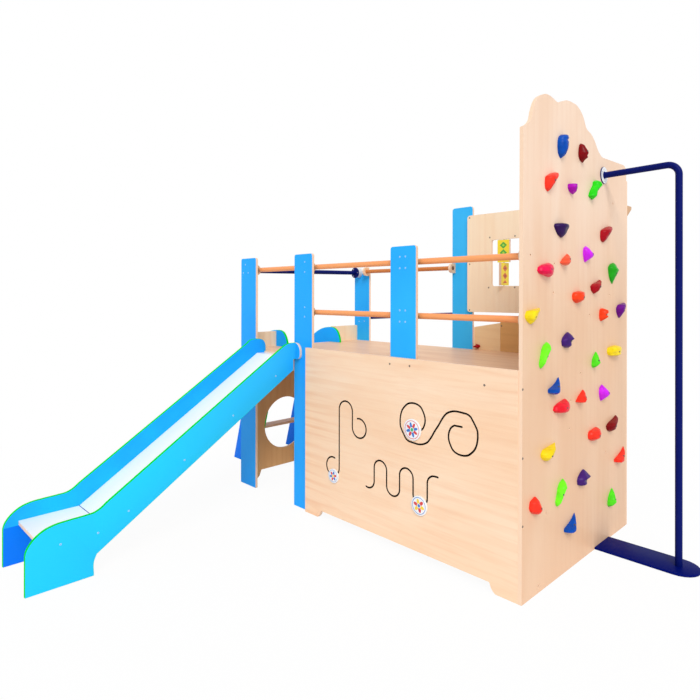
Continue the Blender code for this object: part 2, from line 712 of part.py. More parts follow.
def make_rails():
    """Five rails through eleven lugs: two heights in front, one at the back."""
    front_y = PLY + RAIL_OFFSET
    back_y = BACK_FRONT - RAIL_OFFSET
    end = PLY / 2 + GAP
    left = POST_LEFT_X + LUG_INSET_LEFT + PLY / 2
    middle = POST_MIDDLE_X + LUG_INSET_MIDDLE + PLY / 2
    right_a = POST_RIGHT_X + POST_WIDTH / 2 - LUG_SPACING / 2
    right_b = right_a + LUG_SPACING
    wall_end = BOARD_LENGTH - GAP
    lug("lug_upper_left", left, PLY, front_y, RAIL_UPPER_Z)
    for level, z in (("upper", RAIL_UPPER_Z), ("lower", RAIL_LOWER_Z)):
        lug("lug_" + level + "_middle", middle, PLY, front_y, z)
        lug("lug_" + level + "_right_a", right_a, PLY, front_y, z)
        lug("lug_" + level + "_right_b", right_b, PLY, front_y, z)
        wall_ring("ring_" + level + "_wall", front_y, z)
        rail("rail_" + level + "_front_right", right_b - end, wall_end, front_y, z)
    rail("rail_upper_front_left", left - end, right_a + PLY / 2, front_y, RAIL_UPPER_Z)
    rail("rail_lower_front_left", middle - end, right_a + PLY / 2, front_y, RAIL_LOWER_Z)
    back_right = BACK_MIDDLE_X + LUG_INSET_BACK + PLY / 2
    back_left = BACK_LEFT_X + LUG_INSET_BACK_LEFT + PLY / 2
    lug("lug_back_left", back_left, BACK_FRONT, back_y, RAIL_BACK_Z)
    lug("lug_back_right", back_right, BACK_FRONT, back_y, RAIL_BACK_Z)
    rail("rail_back", back_left - end, back_right + end, back_y, RAIL_BACK_Z)


def make_end_panel():
    """The left end: a porthole below the deck, two feet, and barriers beside the stair opening."""
    near = FRONT_INNER
    far = BACK_INNER
    opening_near = STRINGER_NEAR_Y - GAP
    opening_far = STRINGER_FAR_Y + PLY + GAP
    edge = [(near, 0.0), (near + FOOT_LEFT, 0.0), (near + FOOT_LEFT + FOOT_SLANT * 0.5, END_PANEL_ARCH * 0.3),
            (near + FOOT_LEFT + FOOT_SLANT, END_PANEL_ARCH), (far - FOOT_LEFT - FOOT_SLANT, END_PANEL_ARCH),
            (far - FOOT_LEFT - FOOT_SLANT * 0.5, END_PANEL_ARCH * 0.3), (far - FOOT_LEFT, 0.0), (far, 0.0)]
    edge += [(far, DECK_TOP + BARRIER_FAR), (opening_far, DECK_TOP + BARRIER_FAR), (opening_far, DECK_TOP)]
    edge += [(opening_near, DECK_TOP), (opening_near, DECK_TOP + BARRIER_NEAR), (near, DECK_TOP + BARRIER_NEAR)]
    porthole = circle((PORTHOLE_Y, PORTHOLE_Z), PORTHOLE_R)
    board("end_panel", [edge, porthole], "SIDE", END_INNER - PLY / 2, "birch")


def stringer_outline(foot, wall):
    """A stringer from its foot on the floor to its rounded head, which stands on the deck."""
    end = foot + STRINGER_LENGTH
    edge = [(foot, 0.0), (foot + 0.035, 0.120), (foot + 0.078, 0.265), (foot + 0.120, 0.412),
            (foot + 0.175, 0.610), (foot + 0.225, DECK_TOP - 0.192), (foot + 0.260, DECK_TOP - 0.120),
            (foot + 0.300, DECK_TOP - 0.060), (foot + 0.350, DECK_TOP + 0.008), (foot + 0.402, DECK_TOP + 0.061),
            (foot + 0.440, DECK_TOP + 0.083), (foot + 0.475, DECK_TOP + 0.099), (foot + 0.515, DECK_TOP + 0.112),
            (foot + 0.551, DECK_TOP + 0.119)]
    edge += [(end - 0.1205, DECK_TOP + 0.123), (end - 0.0800, DECK_TOP + 0.120), (end - 0.0515, DECK_TOP + 0.108),
             (end - 0.0280, DECK_TOP + 0.084), (end - 0.0110, DECK_TOP + 0.052), (end - 0.0020, DECK_TOP + 0.020),
             (end, DECK_TOP + GAP)]
    edge += [(wall, DECK_TOP + GAP), (wall, DECK_TOP - 0.172), (foot + STRINGER_FOOT, 0.0)]
    return edge


def make_stair():
    """Two curved stringers through the end panel's opening and two treads outside it."""
    wall = END_OUTER - GAP
    foot = wall - STAIR_REACH
    board("stringer_near", [stringer_outline(foot + STRINGER_NEAR_SHIFT, wall)], "FRONT", STRINGER_NEAR_Y + PLY / 2, "blue")
    board("stringer_far", [stringer_outline(foot, wall)], "FRONT", STRINGER_FAR_Y + PLY / 2, "blue")
    inner = (STRINGER_NEAR_Y + PLY + GAP, STRINGER_FAR_Y - GAP)
    rows = (("tread_low", TREAD_NOSE_LOW, TREAD_RISE), ("tread_high", TREAD_NOSE_HIGH, 2 * TREAD_RISE))
    for name, nose, top in rows:
        box(name, (wall - nose - TREAD_DEPTH, inner[0], top - PLY), (wall - nose, inner[1], top), "birch")


def bed_height(y):
    """Height of the slide's surface at a distance in front of the posts."""
    return DECK_TOP - SLIDE_HEAD_DROP - (y - SLIDE_HEAD_Y) * SLOPE


def side_outline(head):
    """A slide side's outline as (distance in front, height), from the toe up to a head shape."""
    toe = SLIDE_REACH
    low = SLIDE_BEND_Y + 0.048
    upper = [(toe, 0.0), (toe, SLIDE_BEND_Z - 0.032), (toe - 0.005, SLIDE_BEND_Z - 0.008),
             (toe - 0.020, SLIDE_BEND_Z + 0.018), (toe - 0.036, SLIDE_BEND_Z + 0.036),
             (toe - 0.053, SLIDE_BEND_Z + 0.050), (toe - 0.086, SLIDE_BEND_Z + 0.068),
             (toe - 0.120, SLIDE_BEND_Z + 0.077), (toe - 0.189, SLIDE_BEND_Z + 0.082),
             (toe - 0.261, SLIDE_BEND_Z + 0.084), (toe - 0.300, SLIDE_BEND_Z + 0.087),
             (toe - 0.330, SLIDE_BEND_Z + 0.099)]
    upper += [(SLIDE_BEND_Y - 0.006, bed_height(SLIDE_BEND_Y - 0.006) + SIDE_ABOVE),
              (0.125, bed_height(0.125) + SIDE_ABOVE)]
    lower = [(SIDE_END_Y, bed_height(SIDE_END_Y) - SIDE_BELOW), (low, bed_height(low) - SIDE_BELOW),
             (SLIDE_BEND_Y + 0.060, 0.070), (SLIDE_BEND_Y + 0.061, 0.0)]
    return [(-y, z) for y, z in upper + head + lower]


def make_slide():
    """Two sides, a board bed with a white sheet, a flat run-out and the lug on the post."""
    top = DECK_TOP + SIDE_HEAD_ABOVE
    lug_front = -BOARD_FRONT + GAP
    lug_low = top - SLIDE_LUG_HEIGHT
    near_head = [(0.100, top - 0.009), (0.080, top - 0.003), (0.060, top), (lug_front, top),
                 (lug_front, lug_low), (SIDE_END_Y, lug_low)]
    far_head = [(0.105, top - 0.006), (0.085, top + 0.001), (0.060, top + 0.004), (0.025, top + 0.004),
                (0.005, top - 0.001), (-0.010, top - 0.010), (-0.021, top - 0.024), (-0.027, top - 0.042),
                (-0.028, DECK_TOP + GAP), (-PLY, DECK_TOP + GAP), (-PLY, bed_height(-PLY) - SIDE_BELOW)]
    near_x = SLIDE_NEAR_X - PLY / 2
    far_x = near_x - SLIDE_WIDTH - PLY
    board("slide_side_near", [side_outline(near_head)], "SIDE", near_x, "blue")
    board("slide_side_far", [side_outline(far_head)], "SIDE", far_x, "blue")
    width = SLIDE_WIDTH - 2 * GAP
    middle = (near_x + far_x) / 2
    end = SLIDE_REACH - RUNOUT_END
    drop = SHEET_THICK * SLOPE_LENGTH
    surface = [(end, SLIDE_BEND_Z), (SLIDE_BEND_Y, SLIDE_BEND_Z), (SLIDE_HEAD_Y, bed_height(SLIDE_HEAD_Y))]
    sheet = [(-y, z) for y, z in surface] + [(-y, z - drop) for y, z in reversed(surface)]
    board("slide_sheet", [sheet], "SIDE", middle, "white", width)
    under = drop + GAP
    deep = under + PLY * SLOPE_LENGTH
    bed = [(-SLIDE_BEND_Y + GAP, bed_height(SLIDE_BEND_Y) - under), (-SLIDE_HEAD_Y, bed_height(SLIDE_HEAD_Y) - under),
           (-SLIDE_HEAD_Y, bed_height(SLIDE_HEAD_Y) - deep), (-SLIDE_BEND_Y + GAP, bed_height(SLIDE_BEND_Y) - deep)]
    board("slide_bed", [bed], "SIDE", middle, "birch", width)
    box("slide_runout", (middle - width / 2, -end, SLIDE_BEND_Z - under - PLY),
        (middle + width / 2, -SLIDE_BEND_Y, SLIDE_BEND_Z - under), "birch")
    sill_top = bed_height(SLIDE_HEAD_Y)
    box("slide_sill", (middle - width / 2, -SLIDE_HEAD_Y + GAP, sill_top - PLY),
        (POST_MIDDLE_X - GAP, PLY, sill_top), "white")
    plate = rectangle((POST_MIDDLE_X, lug_low), (POST_MIDDLE_X + SLIDE_LUG_WIDTH, top), (0.0, 0.030, 0.055, 0.020))
    board("slide_lug", [plate], "FRONT", BOARD_BACK - PLY / 2, "blue")


def make_window():
    """The panel with its window, the axle between the window's edges and two plates on it."""
    middle = BACK_INNER - PLY / 2
    panel_edge = rectangle((WINDOW_PANEL_X, WINDOW_PANEL_LOW), (BOARD_LENGTH, WINDOW_PANEL_TOP),
                           (0.020, 0.0, 0.0, 0.020))
    window = rectangle((WINDOW_LEFT, WINDOW_LOW), (WINDOW_RIGHT, WINDOW_HIGH), (0.015, 0.015, 0.015, 0.015))
    panel = as_mesh(board("window_panel", [panel_edge, window], "FRONT", middle, "birch"))
    height = WINDOW_HIGH - WINDOW_LOW
    centre = (AXLE_X, middle, (WINDOW_HIGH + WINDOW_LOW) / 2)
    socket_r = (AXLE_R + GAP) / math.cos(math.pi / ROUND_SIDES)
    socket = helper("axle_socket", cylinder_mesh("axle_socket", socket_r, height + 2 * AXLE_SOCKET), centre)
    boolean(panel, socket, "DIFFERENCE")
    axle_length = height + 2 * AXLE_SOCKET - 2 * GAP
    add_piece("window_axle", cylinder_mesh("window_axle", AXLE_R, axle_length), "axle", centre)
    plate_height = (height - 3 * PLATE_GAP) / 2
    rows = (("plate_lower", 0, PLATE_TURN), ("plate_upper", 1, 0))
    for name, level, turn in rows:
        z = WINDOW_LOW + PLATE_GAP + plate_height / 2 + level * (plate_height + PLATE_GAP)
        plate = add_piece(name, box_mesh(name, (PLATE_WIDTH, PLY, plate_height)), "yellow",
                          (AXLE_X, middle, z), Euler((0.0, 0.0, math.radians(turn))))
        bore = helper(name + "_bore", cylinder_mesh(name + "_bore", socket_r, plate_height * 1.2),
                      (AXLE_X, middle, z), Euler((0.0, 0.0, math.radians(turn))))
        boolean(plate, bore, "DIFFERENCE")


def flange(piece, name, centre, turn, radius=FLANGE_R, thick=FLANGE_THICK):
    """Weld a round plate to a bar."""
    boolean(piece, helper(name, cylinder_mesh(name, radius, thick), centre, turn), "UNION")


def steel_bar(name, points):
    return as_mesh(add_piece(name, tube_curve(name, points, PIPE_R), "steel"))


def make_bars():
    """Grab bar, rear bar and the fireman's pole with its base plate."""
    bury = FLANGE_THICK / 2
    near = (POST_LEFT_X + GRAB_BAR_X, FRONT_INNER + bury, GRAB_BAR_NEAR_Z)
    far = (BACK_LEFT_X + GRAB_BAR_X, BACK_INNER - SPACER_DEPTH - bury, GRAB_BAR_FAR_Z)
    bar = steel_bar("grab_bar", [near, far])
    flange(bar, "grab_flange_near", near, FRONT)
    flange(bar, "grab_flange_far", far, FRONT)

    rear_x = BACK_LEFT_X + REAR_BAR_X
    start = BACK_REAR + GAP
    bend = arc((REAR_LEG_Y - REAR_BEND, REAR_BAR_Z - REAR_BEND), REAR_BEND, 90, 0)
    points = [(rear_x, start + bury, REAR_BAR_Z)] + [(rear_x, y, z) for y, z in bend] + [(rear_x, REAR_LEG_Y, bury)]
    bar = steel_bar("rear_bar", points)
    flange(bar, "rear_flange", (rear_x, start + bury, REAR_BAR_Z), FRONT)
    flange(bar, "rear_foot", (rear_x, REAR_LEG_Y, bury), FLAT, REAR_FOOT_R)

    start = WALL_OUTER + GAP
    bend = arc((POLE_X - POLE_BEND, POLE_TOP - POLE_BEND), POLE_BEND, 90, 0)
    points = [(start + bury, POLE_ARM_Y, POLE_TOP)] + [(x, POLE_Y, z) for x, z in bend]
    points.append((POLE_X, POLE_Y, POLE_PLATE_THICK + GAP))
    pole = steel_bar("fireman_pole", points)
    flange(pole, "pole_flange", (start + bury, POLE_ARM_Y, POLE_TOP), SIDE)
    edge = [(start, POLE_Y - POLE_PLATE_R)] + arc((POLE_X, POLE_Y), POLE_PLATE_R, -90, 90)
    edge.append((start, POLE_Y + POLE_PLATE_R))
    board("pole_base_plate", [edge], "FLAT", POLE_PLATE_THICK / 2, "steel", POLE_PLATE_THICK)


def make_wedge():
    """A small wedge on the back of the wall's post."""
    back = WALL_FAR + 2 * GAP + PLY
    half = WEDGE_HEIGHT / 2
    edge = [(back, WEDGE_Z - half), (back + WEDGE_DEPTH * 0.4, WEDGE_Z - half * 0.4),
            (back + WEDGE_DEPTH, WEDGE_Z + half * 0.5), (back + WEDGE_DEPTH, WEDGE_Z + half), (back, WEDGE_Z + half)]
    board("post_wedge", [edge], "SIDE", WALL_OUTER - PLY / 2, "brown")


make_posts()
make_groove_board()
make_discs()
make_climbing_wall()
make_deck()
make_toe_boards()
make_rails()
make_end_panel()
make_stair()
make_slide()
make_window()
make_bars()
make_wedge()
bpy.context.view_layer.update()
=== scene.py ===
# %% [markdown]
# # A wooden play ship, dressed around its CAD frame
# The frame gives every board, bar and joint at its real place. This lesson turns those plain
# solids into plywood, paint, steel and resin, one family of pieces at a time, and prints what
# each cell made. Lengths are metres; the ship stands on the floor with +Z up.

import math

import bmesh
import bpy
from mathutils import Euler, Matrix, Vector, noise


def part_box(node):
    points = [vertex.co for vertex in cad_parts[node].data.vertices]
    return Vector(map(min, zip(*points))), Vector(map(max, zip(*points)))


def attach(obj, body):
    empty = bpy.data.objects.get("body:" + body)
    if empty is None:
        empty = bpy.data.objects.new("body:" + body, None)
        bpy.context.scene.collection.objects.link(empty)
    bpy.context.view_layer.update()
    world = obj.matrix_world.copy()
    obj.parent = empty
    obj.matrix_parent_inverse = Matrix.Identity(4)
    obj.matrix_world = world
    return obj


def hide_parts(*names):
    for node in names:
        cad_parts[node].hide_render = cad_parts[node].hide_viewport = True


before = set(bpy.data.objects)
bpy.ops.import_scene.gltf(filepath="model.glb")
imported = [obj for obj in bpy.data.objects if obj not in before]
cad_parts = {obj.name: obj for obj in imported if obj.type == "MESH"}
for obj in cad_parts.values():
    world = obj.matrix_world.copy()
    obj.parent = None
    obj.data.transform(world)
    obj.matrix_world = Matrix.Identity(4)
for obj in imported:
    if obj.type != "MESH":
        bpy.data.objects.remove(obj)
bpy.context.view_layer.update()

# %% [markdown]
# ## Where the ship's own zero lies
# The frame's zero is under the middle of the ship, which is handy for placing it but not for
# making it. A carpenter would measure from the groove board's left end and the front of the
# posts. The two boxes below give that corner, and `at` turns the carpenter's measures into
# frame coordinates.

# %% The carpenter's corner
CORNER = Vector((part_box("groove_board")[0].x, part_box("post_front_left")[0].y, 0.0))
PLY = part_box("post_front_left")[1].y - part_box("post_front_left")[0].y
X, Y, Z = Vector((1, 0, 0)), Vector((0, 1, 0)), Vector((0, 0, 1))


def at(x, y, z):
    """A point measured from the groove board's left end, the posts' front and the floor."""
    return CORNER + Vector((x, y, z))


print("corner at", [round(v, 4) for v in CORNER], "board thickness", round(PLY, 4))

# %% [markdown]
# ## The camera
# The photograph was taken at a child's climbing height, looking level at the ship's corner. A
# level camera keeps every post upright in the picture; the lens shift then lowers the frame, as
# an architect's camera does, so that the feet fit in without tilting.

# %% Camera
IMAGE = 700
FOCAL_PIXELS = 555.8
HORIZON_PIXELS = 293.95
SENSOR = 36.0
EYE = (2.7044, -2.2627, 1.3651)
EYE_TURN = (90.081, -0.098, 45.733)

lens = bpy.data.cameras.new("photo_camera")
lens.sensor_width = SENSOR
lens.lens = FOCAL_PIXELS / IMAGE * SENSOR
lens.shift_y = (HORIZON_PIXELS - IMAGE / 2) / IMAGE
lens.clip_end = 200.0
camera = bpy.data.objects.new("photo_camera", lens)
camera.location = at(*EYE)
camera.rotation_euler = Euler([math.radians(a) for a in EYE_TURN])
bpy.context.scene.collection.objects.link(camera)
bpy.context.scene.camera = camera
print("lens", round(lens.lens, 2), "mm, shift", round(lens.shift_y, 4))

# %% [markdown]
# ## Studio light
# A product photographer lights toys with a big soft source so that colours read as painted. Here
# an even white world does most of the work and one broad soft sun, from the camera's side,
# brightens both faces that the camera sees and leaves the far ones in shade. Light Path lets the
# camera and the glossy reflections see pure white without adding light to the object.

# %% World and sun
AMBIENT = 0.64
SKY_LIGHT = (0.97, 0.985, 1.0, 1.0)
PURE_WHITE = (1.0, 1.0, 1.0, 1.0)
SUN_STRENGTH = 1.95
SUN_COLOUR = (1.0, 0.985, 0.96)
SUN_WIDTH = 25.0
SUN_TURN = (50.0, 0.0, 47.0)


def add_node(tree, kind, *inputs, named=None, **settings):
    """Add a shader node; its inputs, in order or by name, are linked to outputs or set to values."""
    made = tree.nodes.new("ShaderNode" + kind)
    for key, value in settings.items():
        setattr(made, key, value)
    sockets = list(zip(made.inputs, inputs))
    sockets += [(made.inputs[key], value) for key, value in (named or {}).items()]
    for socket, value in sockets:
        if isinstance(value, bpy.types.NodeSocket):
            tree.links.new(value, socket)
        elif value is not None:
            socket.default_value = value
    return made


def ray_mask(tree):
    """One where a camera, mirror or glass ray looks, zero where light is gathered."""
    path = add_node(tree, "LightPath")
    total = path.outputs["Is Camera Ray"]
    for ray in ("Is Glossy Ray", "Is Transmission Ray"):
        total = add_node(tree, "Math", total, path.outputs[ray], operation="MAXIMUM").outputs[0]
    return total


world = bpy.data.worlds.new("white_studio")
bpy.context.scene.world = world
world.use_nodes = True
tree = world.node_tree
tree.nodes.clear()
lighting = add_node(tree, "Background", SKY_LIGHT, AMBIENT)
seen = add_node(tree, "Background", PURE_WHITE, 1.0)
choose = add_node(tree, "MixShader", ray_mask(tree), lighting.outputs[0], seen.outputs[0])
add_node(tree, "OutputWorld", choose.outputs[0])

sun_data = bpy.data.lights.new("soft_sun", "SUN")
sun_data.energy = SUN_STRENGTH
sun_data.angle = math.radians(SUN_WIDTH)
sun_data.color = SUN_COLOUR
sun = bpy.data.objects.new("soft_sun", sun_data)
sun.rotation_euler = Euler([math.radians(a) for a in SUN_TURN])
bpy.context.scene.collection.objects.link(sun)
bpy.context.scene.view_settings.view_transform = "Standard"
print("world", AMBIENT, "sun", SUN_STRENGTH)

# %% [markdown]
# ## The floor
# The ship stands on a plain white floor. Most of what the camera sees of it is its own white,
# so it melts into the background. Near the ship a small diffuse share keeps the soft shadow;
# farther out that share fades, so that no line shows where the floor meets the sky.

# %% Floor
FLOOR_REACH = 60.0
FLOOR_DROP = 0.0008
FLOOR_WHITE_NEAR = 0.95
SHADOW_REACH = (1.9, 3.6)

floor_mesh = bpy.data.meshes.new("floor")
work = bmesh.new()
bmesh.ops.create_circle(work, cap_ends=True, segments=64, radius=FLOOR_REACH)
work.to_mesh(floor_mesh)
work.free()
floor = bpy.data.objects.new("floor", floor_mesh)
floor.location.z = -FLOOR_DROP
bpy.context.scene.collection.objects.link(floor)
paper = bpy.data.materials.new("studio_paper")
paper.use_nodes = True
tree = paper.node_tree
body = tree.nodes["Principled BSDF"]
body.inputs["Base Color"].default_value = (0.90, 0.90, 0.90, 1.0)
body.inputs["Roughness"].default_value = 0.9
away = add_node(tree, "VectorMath", add_node(tree, "TexCoord").outputs["Object"], operation="LENGTH")
own_white = add_node(tree, "MapRange", away.outputs["Value"], *SHADOW_REACH, FLOOR_WHITE_NEAR, 1.0)
share = add_node(tree, "Math", ray_mask(tree), own_white.outputs[0], operation="MULTIPLY")
glow = add_node(tree, "Emission", PURE_WHITE, 1.0)
mixed = add_node(tree, "MixShader", share.outputs[0], body.outputs[0], glow.outputs[0])
tree.links.new(mixed.outputs[0], tree.nodes["Material Output"].inputs["Surface"])
floor_mesh.materials.append(paper)
print("floor radius", FLOOR_REACH)

# %% [markdown]
# ## A small kit for node materials
# Wood, paint and resin differ in a few numbers, so a handful of helpers that add a node, link
# its inputs and give back its output keep each finish to a few readable lines.

# %% Node helpers
AXES = {"X": 0, "Y": 1, "Z": 2}


class Finish:
    """A new Principled material with short ways to add nodes to it."""

    def __init__(self, name, roughness=0.5, metallic=0.0, coat=0.0, specular=0.5):
        self.mat = bpy.data.materials.new(name)
        self.mat.use_nodes = True
        self.tree = self.mat.node_tree
        self.shader = self.tree.nodes["Principled BSDF"]
        self.shader.inputs["Roughness"].default_value = roughness
        self.shader.inputs["Metallic"].default_value = metallic
        self.shader.inputs["Coat Weight"].default_value = coat
        self.shader.inputs["Coat Roughness"].default_value = 0.12
        self.shader.inputs["Specular IOR Level"].default_value = specular

    def node(self, kind, *inputs, **settings):
        return add_node(self.tree, kind, *inputs, **settings)

    def wire(self, socket, output):
        """Link an output to a socket of the shader."""
        self.tree.links.new(output, self.shader.inputs[socket])

    def math(self, operation, *values):
        return self.node("Math", *values, operation=operation).outputs[0]

    def times(self, product, *others):
        """The product of two or more numbers."""
        for other in others:
            product = self.math("MULTIPLY", product, other)
        return product

    def below(self, value, limit):
        """One where a value is below a limit, zero elsewhere."""
        return self.math("LESS_THAN", value, limit)

    def between(self, low, value, high):
        """One where a value lies between two others, zero elsewhere."""
        return self.times(self.math("GREATER_THAN", value, low), self.below(value, high))

    def mix(self, factor, a, b, blend="MIX"):
        """A blend of two colours, each a plain tone or an output."""
        tones = [(*tone, 1.0) if isinstance(tone, tuple) else tone for tone in (a, b)]
        step = self.node("Mix", factor, *[None] * 5, *tones, data_type="RGBA", blend_type=blend)
        return step.outputs[2]

    def ramp(self, value, low, high):
        """Zero at low, one at high, straight between."""
        return self.node("MapRange", value, low, high, 0.0, 1.0).outputs[0]

    def parts(self, kind="Object"):
        """The three parts of the object coordinates, or of the normal."""
        return self.node("SeparateXYZ", self.node("TexCoord").outputs[kind]).outputs

    def facing(self, axis):
        """One where the surface looks straight along an axis, zero where it looks across it."""
        return self.math("ABSOLUTE", self.parts("Normal")[axis])

    def place(self, scale=(1.0, 1.0, 1.0), shift=(0.0, 0.0, 0.0)):
        """Object coordinates, scaled and shifted."""
        coords = self.node("TexCoord").outputs["Object"]
        return self.node("Mapping", coords, named={"Scale": scale, "Location": shift}).outputs[0]

    def noise(self, vector, scale, detail=3.0, rough=0.5, distort=0.0):
        numbers = {"Scale": scale, "Detail": detail, "Roughness": rough, "Distortion": distort}
        return self.node("TexNoise", vector, named=numbers).outputs["Fac"]

    def mottle(self, scale, low, high, detail=3.0):
        """Colour that wanders between two tones; gives back the pattern behind it."""
        spots = self.noise(self.place(), scale, detail)
        self.wire("Base Color", self.mix(spots, low, high))
        return spots

    def gloss(self, least, spread, pattern):
        """Roughness that varies with a pattern."""
        self.wire("Roughness", self.math("ADD", least, self.times(pattern, spread)))

    def bump(self, height, strength, distance):
        step = self.node("Bump", named={"Strength": strength, "Distance": distance, "Height": height})
        self.wire("Normal", step.outputs[0])


print("node helpers ready")

# %% [markdown]
# ## Birch plywood
# Rotary-cut birch shows long, pale, slightly wavy streaks along the sheet, a few darker growth
# lines and soft pinkish clouds. Noise stretched along the grain gives the streaks, a larger noise
# the clouds, and bent bands the growth lines. On the edge of the board the plies show as thin light
# and dark stripes, which follow the distance through the board, picked out where the surface faces
# sideways.

# %% Plywood finish
PLIES = 13
# Near-black for the insides of the slots and the front of the sheet behind them: painted shade.
SLOT_SHADE = (0.030, 0.018, 0.011)
EDGE_LIGHT = (0.940, 0.700, 0.520)
EDGE_DARK = (0.800, 0.540, 0.370)


def ply_edges(f, through, box, light=EDGE_LIGHT, dark=EDGE_DARK):
    """Stripes of the plies, and a mask that is one on the board's faces."""
    axis = AXES[through]
    depth = f.math("DIVIDE", f.math("SUBTRACT", f.parts()[axis], box[0][axis]), box[1][axis] - box[0][axis])
    stripe = f.ramp(f.math("SINE", f.times(depth, PLIES * math.pi)), -0.5, 0.5)
    wander = f.times(f.noise(f.place(), 40.0, 4.0), 0.5)
    return f.mix(wander, f.mix(stripe, dark, light), light), f.ramp(f.facing(axis), 0.60, 0.75)


def birch(name, through, grain, box, tones, streaks, seed, darker_below=None, slots=None):
    """Clear-coated birch plywood: faces across one axis, grain along another.

    A darkening below takes two tints, the height under which they apply, and the heights between
    which the first passes into the second: painted shade under the deck on the end panel, and a
    darkening towards the bottom on the wall. Slot bounds mark the sawn slots, coloured dark inside
    as painted shade.
    """
    f = Finish(name, roughness=0.50, coat=0.08, specular=0.3)
    shift = (seed, seed * 1.7, seed * 0.6)

    def grained(across, along):
        """Coordinates stretched along the grain."""
        return f.place(tuple(along if axis == grain else across for axis in AXES), shift)

    cloud = f.noise(grained(3.0, 0.9), 1.0, 3.0, 0.55, 0.8)
    fine = f.noise(grained(26.0, 1.3), 1.6, 6.0, 0.65, 0.6)
    patches = f.ramp(f.noise(f.place((1.1, 1.1, 1.1), shift), 1.3, 2.0), 0.40, 0.62)
    rings = f.node("TexWave", grained(5.0, 0.55), wave_type="BANDS",
                   bands_direction=next(axis for axis in AXES if axis not in (through, grain)),
                   named={"Scale": 1.1, "Distortion": 9.0, "Detail": 4.0, "Detail Scale": 1.1})
    pale, warm, deep = tones
    face = f.mix(f.ramp(cloud, 0.32, 0.68), pale, warm)
    face = f.mix(f.times(f.math("POWER", rings.outputs["Fac"], 3.0), patches, streaks), face, deep)
    face = f.mix(f.times(f.ramp(fine, 0.45, 0.80), streaks), face, deep)
    x, _, z = f.parts()
    # Below the height the tint darkens the face: painted shade on the end panel, a darkening towards the
    # bottom on the wall.
    if darker_below:
        low_tint, high_tint, limit, bottom, top = darker_below
        tint = f.mix(f.ramp(z, bottom, top), low_tint, high_tint)
        face = f.mix(f.below(z, limit), face, f.mix(1.0, face, tint, "MULTIPLY"))
    stripes, flat = ply_edges(f, through, box)
    # The insides of the slots are coloured near-black: painted shade.
    if slots:
        low, high = slots
        within = f.times(f.between(low.x, x, high.x), f.between(low.z, z, high.z))
        stripes = f.mix(within, stripes, SLOT_SHADE)
    f.wire("Base Color", f.mix(flat, stripes, face))
    f.bump(fine, 0.12, 0.0006)
    return f.mat


BOARD_TONES = ((0.940, 0.700, 0.505), (0.915, 0.620, 0.410), (0.800, 0.410, 0.210))
WALL_TONES = ((0.890, 0.680, 0.530), (0.850, 0.605, 0.440), (0.740, 0.460, 0.300))
WINDOW_TONES = ((0.970, 0.810, 0.610), (0.950, 0.750, 0.530), (0.850, 0.580, 0.380))
END_TONES = ((0.960, 0.780, 0.540), (0.930, 0.710, 0.460), (0.800, 0.540, 0.320))
TOE_TONES = ((0.960, 0.740, 0.450), (0.930, 0.680, 0.390), (0.800, 0.520, 0.260))
TREAD_TONES = ((0.830, 0.440, 0.240), (0.750, 0.380, 0.200), (0.570, 0.260, 0.130))
print("birch tones:", len(BOARD_TONES), "a sheet, plies:", PLIES)

# %% [markdown]
# ## Painted plywood
# The posts and the slide's sides are the same plywood under satin blue lacquer. Lacquer hides
# the colour of the wood, but a trace of its grain still shows as a faint relief and a slightly
# uneven gloss. Posts keep bare edges; the slide and the stair have theirs painted a matt green,
# as a second material on the faces that look sideways out of the board.

# %% Paint finish
BLUE = (0.012, 0.390, 1.000)
BLUE_SHADE = (0.008, 0.350, 0.980)
# The paint lighter towards the slide's foot: painted light.
BLUE_LIT_FOOT = (0.010, 0.590, 1.000)
# The paint a little lighter, for boards that stand in more light: painted light.
BLUE_IN_LIGHT = (0.022, 0.460, 1.000)
# The paint lighter still, for the back middle post: painted light.
BLUE_IN_MORE_LIGHT = (0.045, 0.510, 1.000)
# The paint darker, for the stringers' feet and below the run-out: painted shade.
BLUE_IN_SHADE = (0.001, 0.200, 0.950)
GREEN = (0.001, 0.680, 0.040)
GREEN_DARK = (0.001, 0.600, 0.030)


def painted(name, through, box, face, edge=(EDGE_LIGHT, EDGE_DARK), foot_light_and_shade=None, shade_under=None, specular=0.18):
    """Lacquer over plywood, with bare or painted edges.

    Tones given for the foot take over towards it: painted light on the slide's sides, painted shade on the
    stringers. A height given with a tone colours all below it in that tone: painted shade.
    """
    f = Finish(name, roughness=0.50, coat=0.03, specular=specular)
    grain = f.noise(f.place((30.0, 30.0, 3.0)), 2.0, 4.0, 0.6)
    cloud = f.ramp(f.noise(f.place(), 2.2, 2.0), 0.35, 0.70)
    height = f.parts()[2]
    colour = f.mix(cloud, *face)
    # Towards the foot the given tones take over: painted light on the slide's sides, painted shade on the
    # stringers.
    if foot_light_and_shade:
        colour = f.mix(f.ramp(height, 1.00, 0.45), colour, f.mix(cloud, *foot_light_and_shade))
    # Below the given height, the given tone: painted shade under the slide's run-out.
    if shade_under:
        colour = f.mix(f.below(height, shade_under[0]), colour, shade_under[1])
    stripes, flat = ply_edges(f, through, box, *edge)
    f.wire("Base Color", f.mix(flat, stripes, colour))
    f.gloss(0.44, 0.12, grain)
    f.bump(grain, 0.06, 0.0004)
    return f.mat


print("paint ready")

# %% [markdown]
# ## Boards from the frame
# Every board already has its right outline in the frame. What a real board has besides is a
# sanded edge that catches a thin line of light. Copying the frame's mesh, melting its flat
# triangles together and bevelling the sharp edges by about a millimetre gives exactly that.
# Boards with long curves, such as the slide's sides or the board with the slots, are drawn afresh
# instead: their outlines are read from the frame and the corners joined by a smooth line.

# %% Softened boards
SHIP = "ship"
SANDED = 0.0014


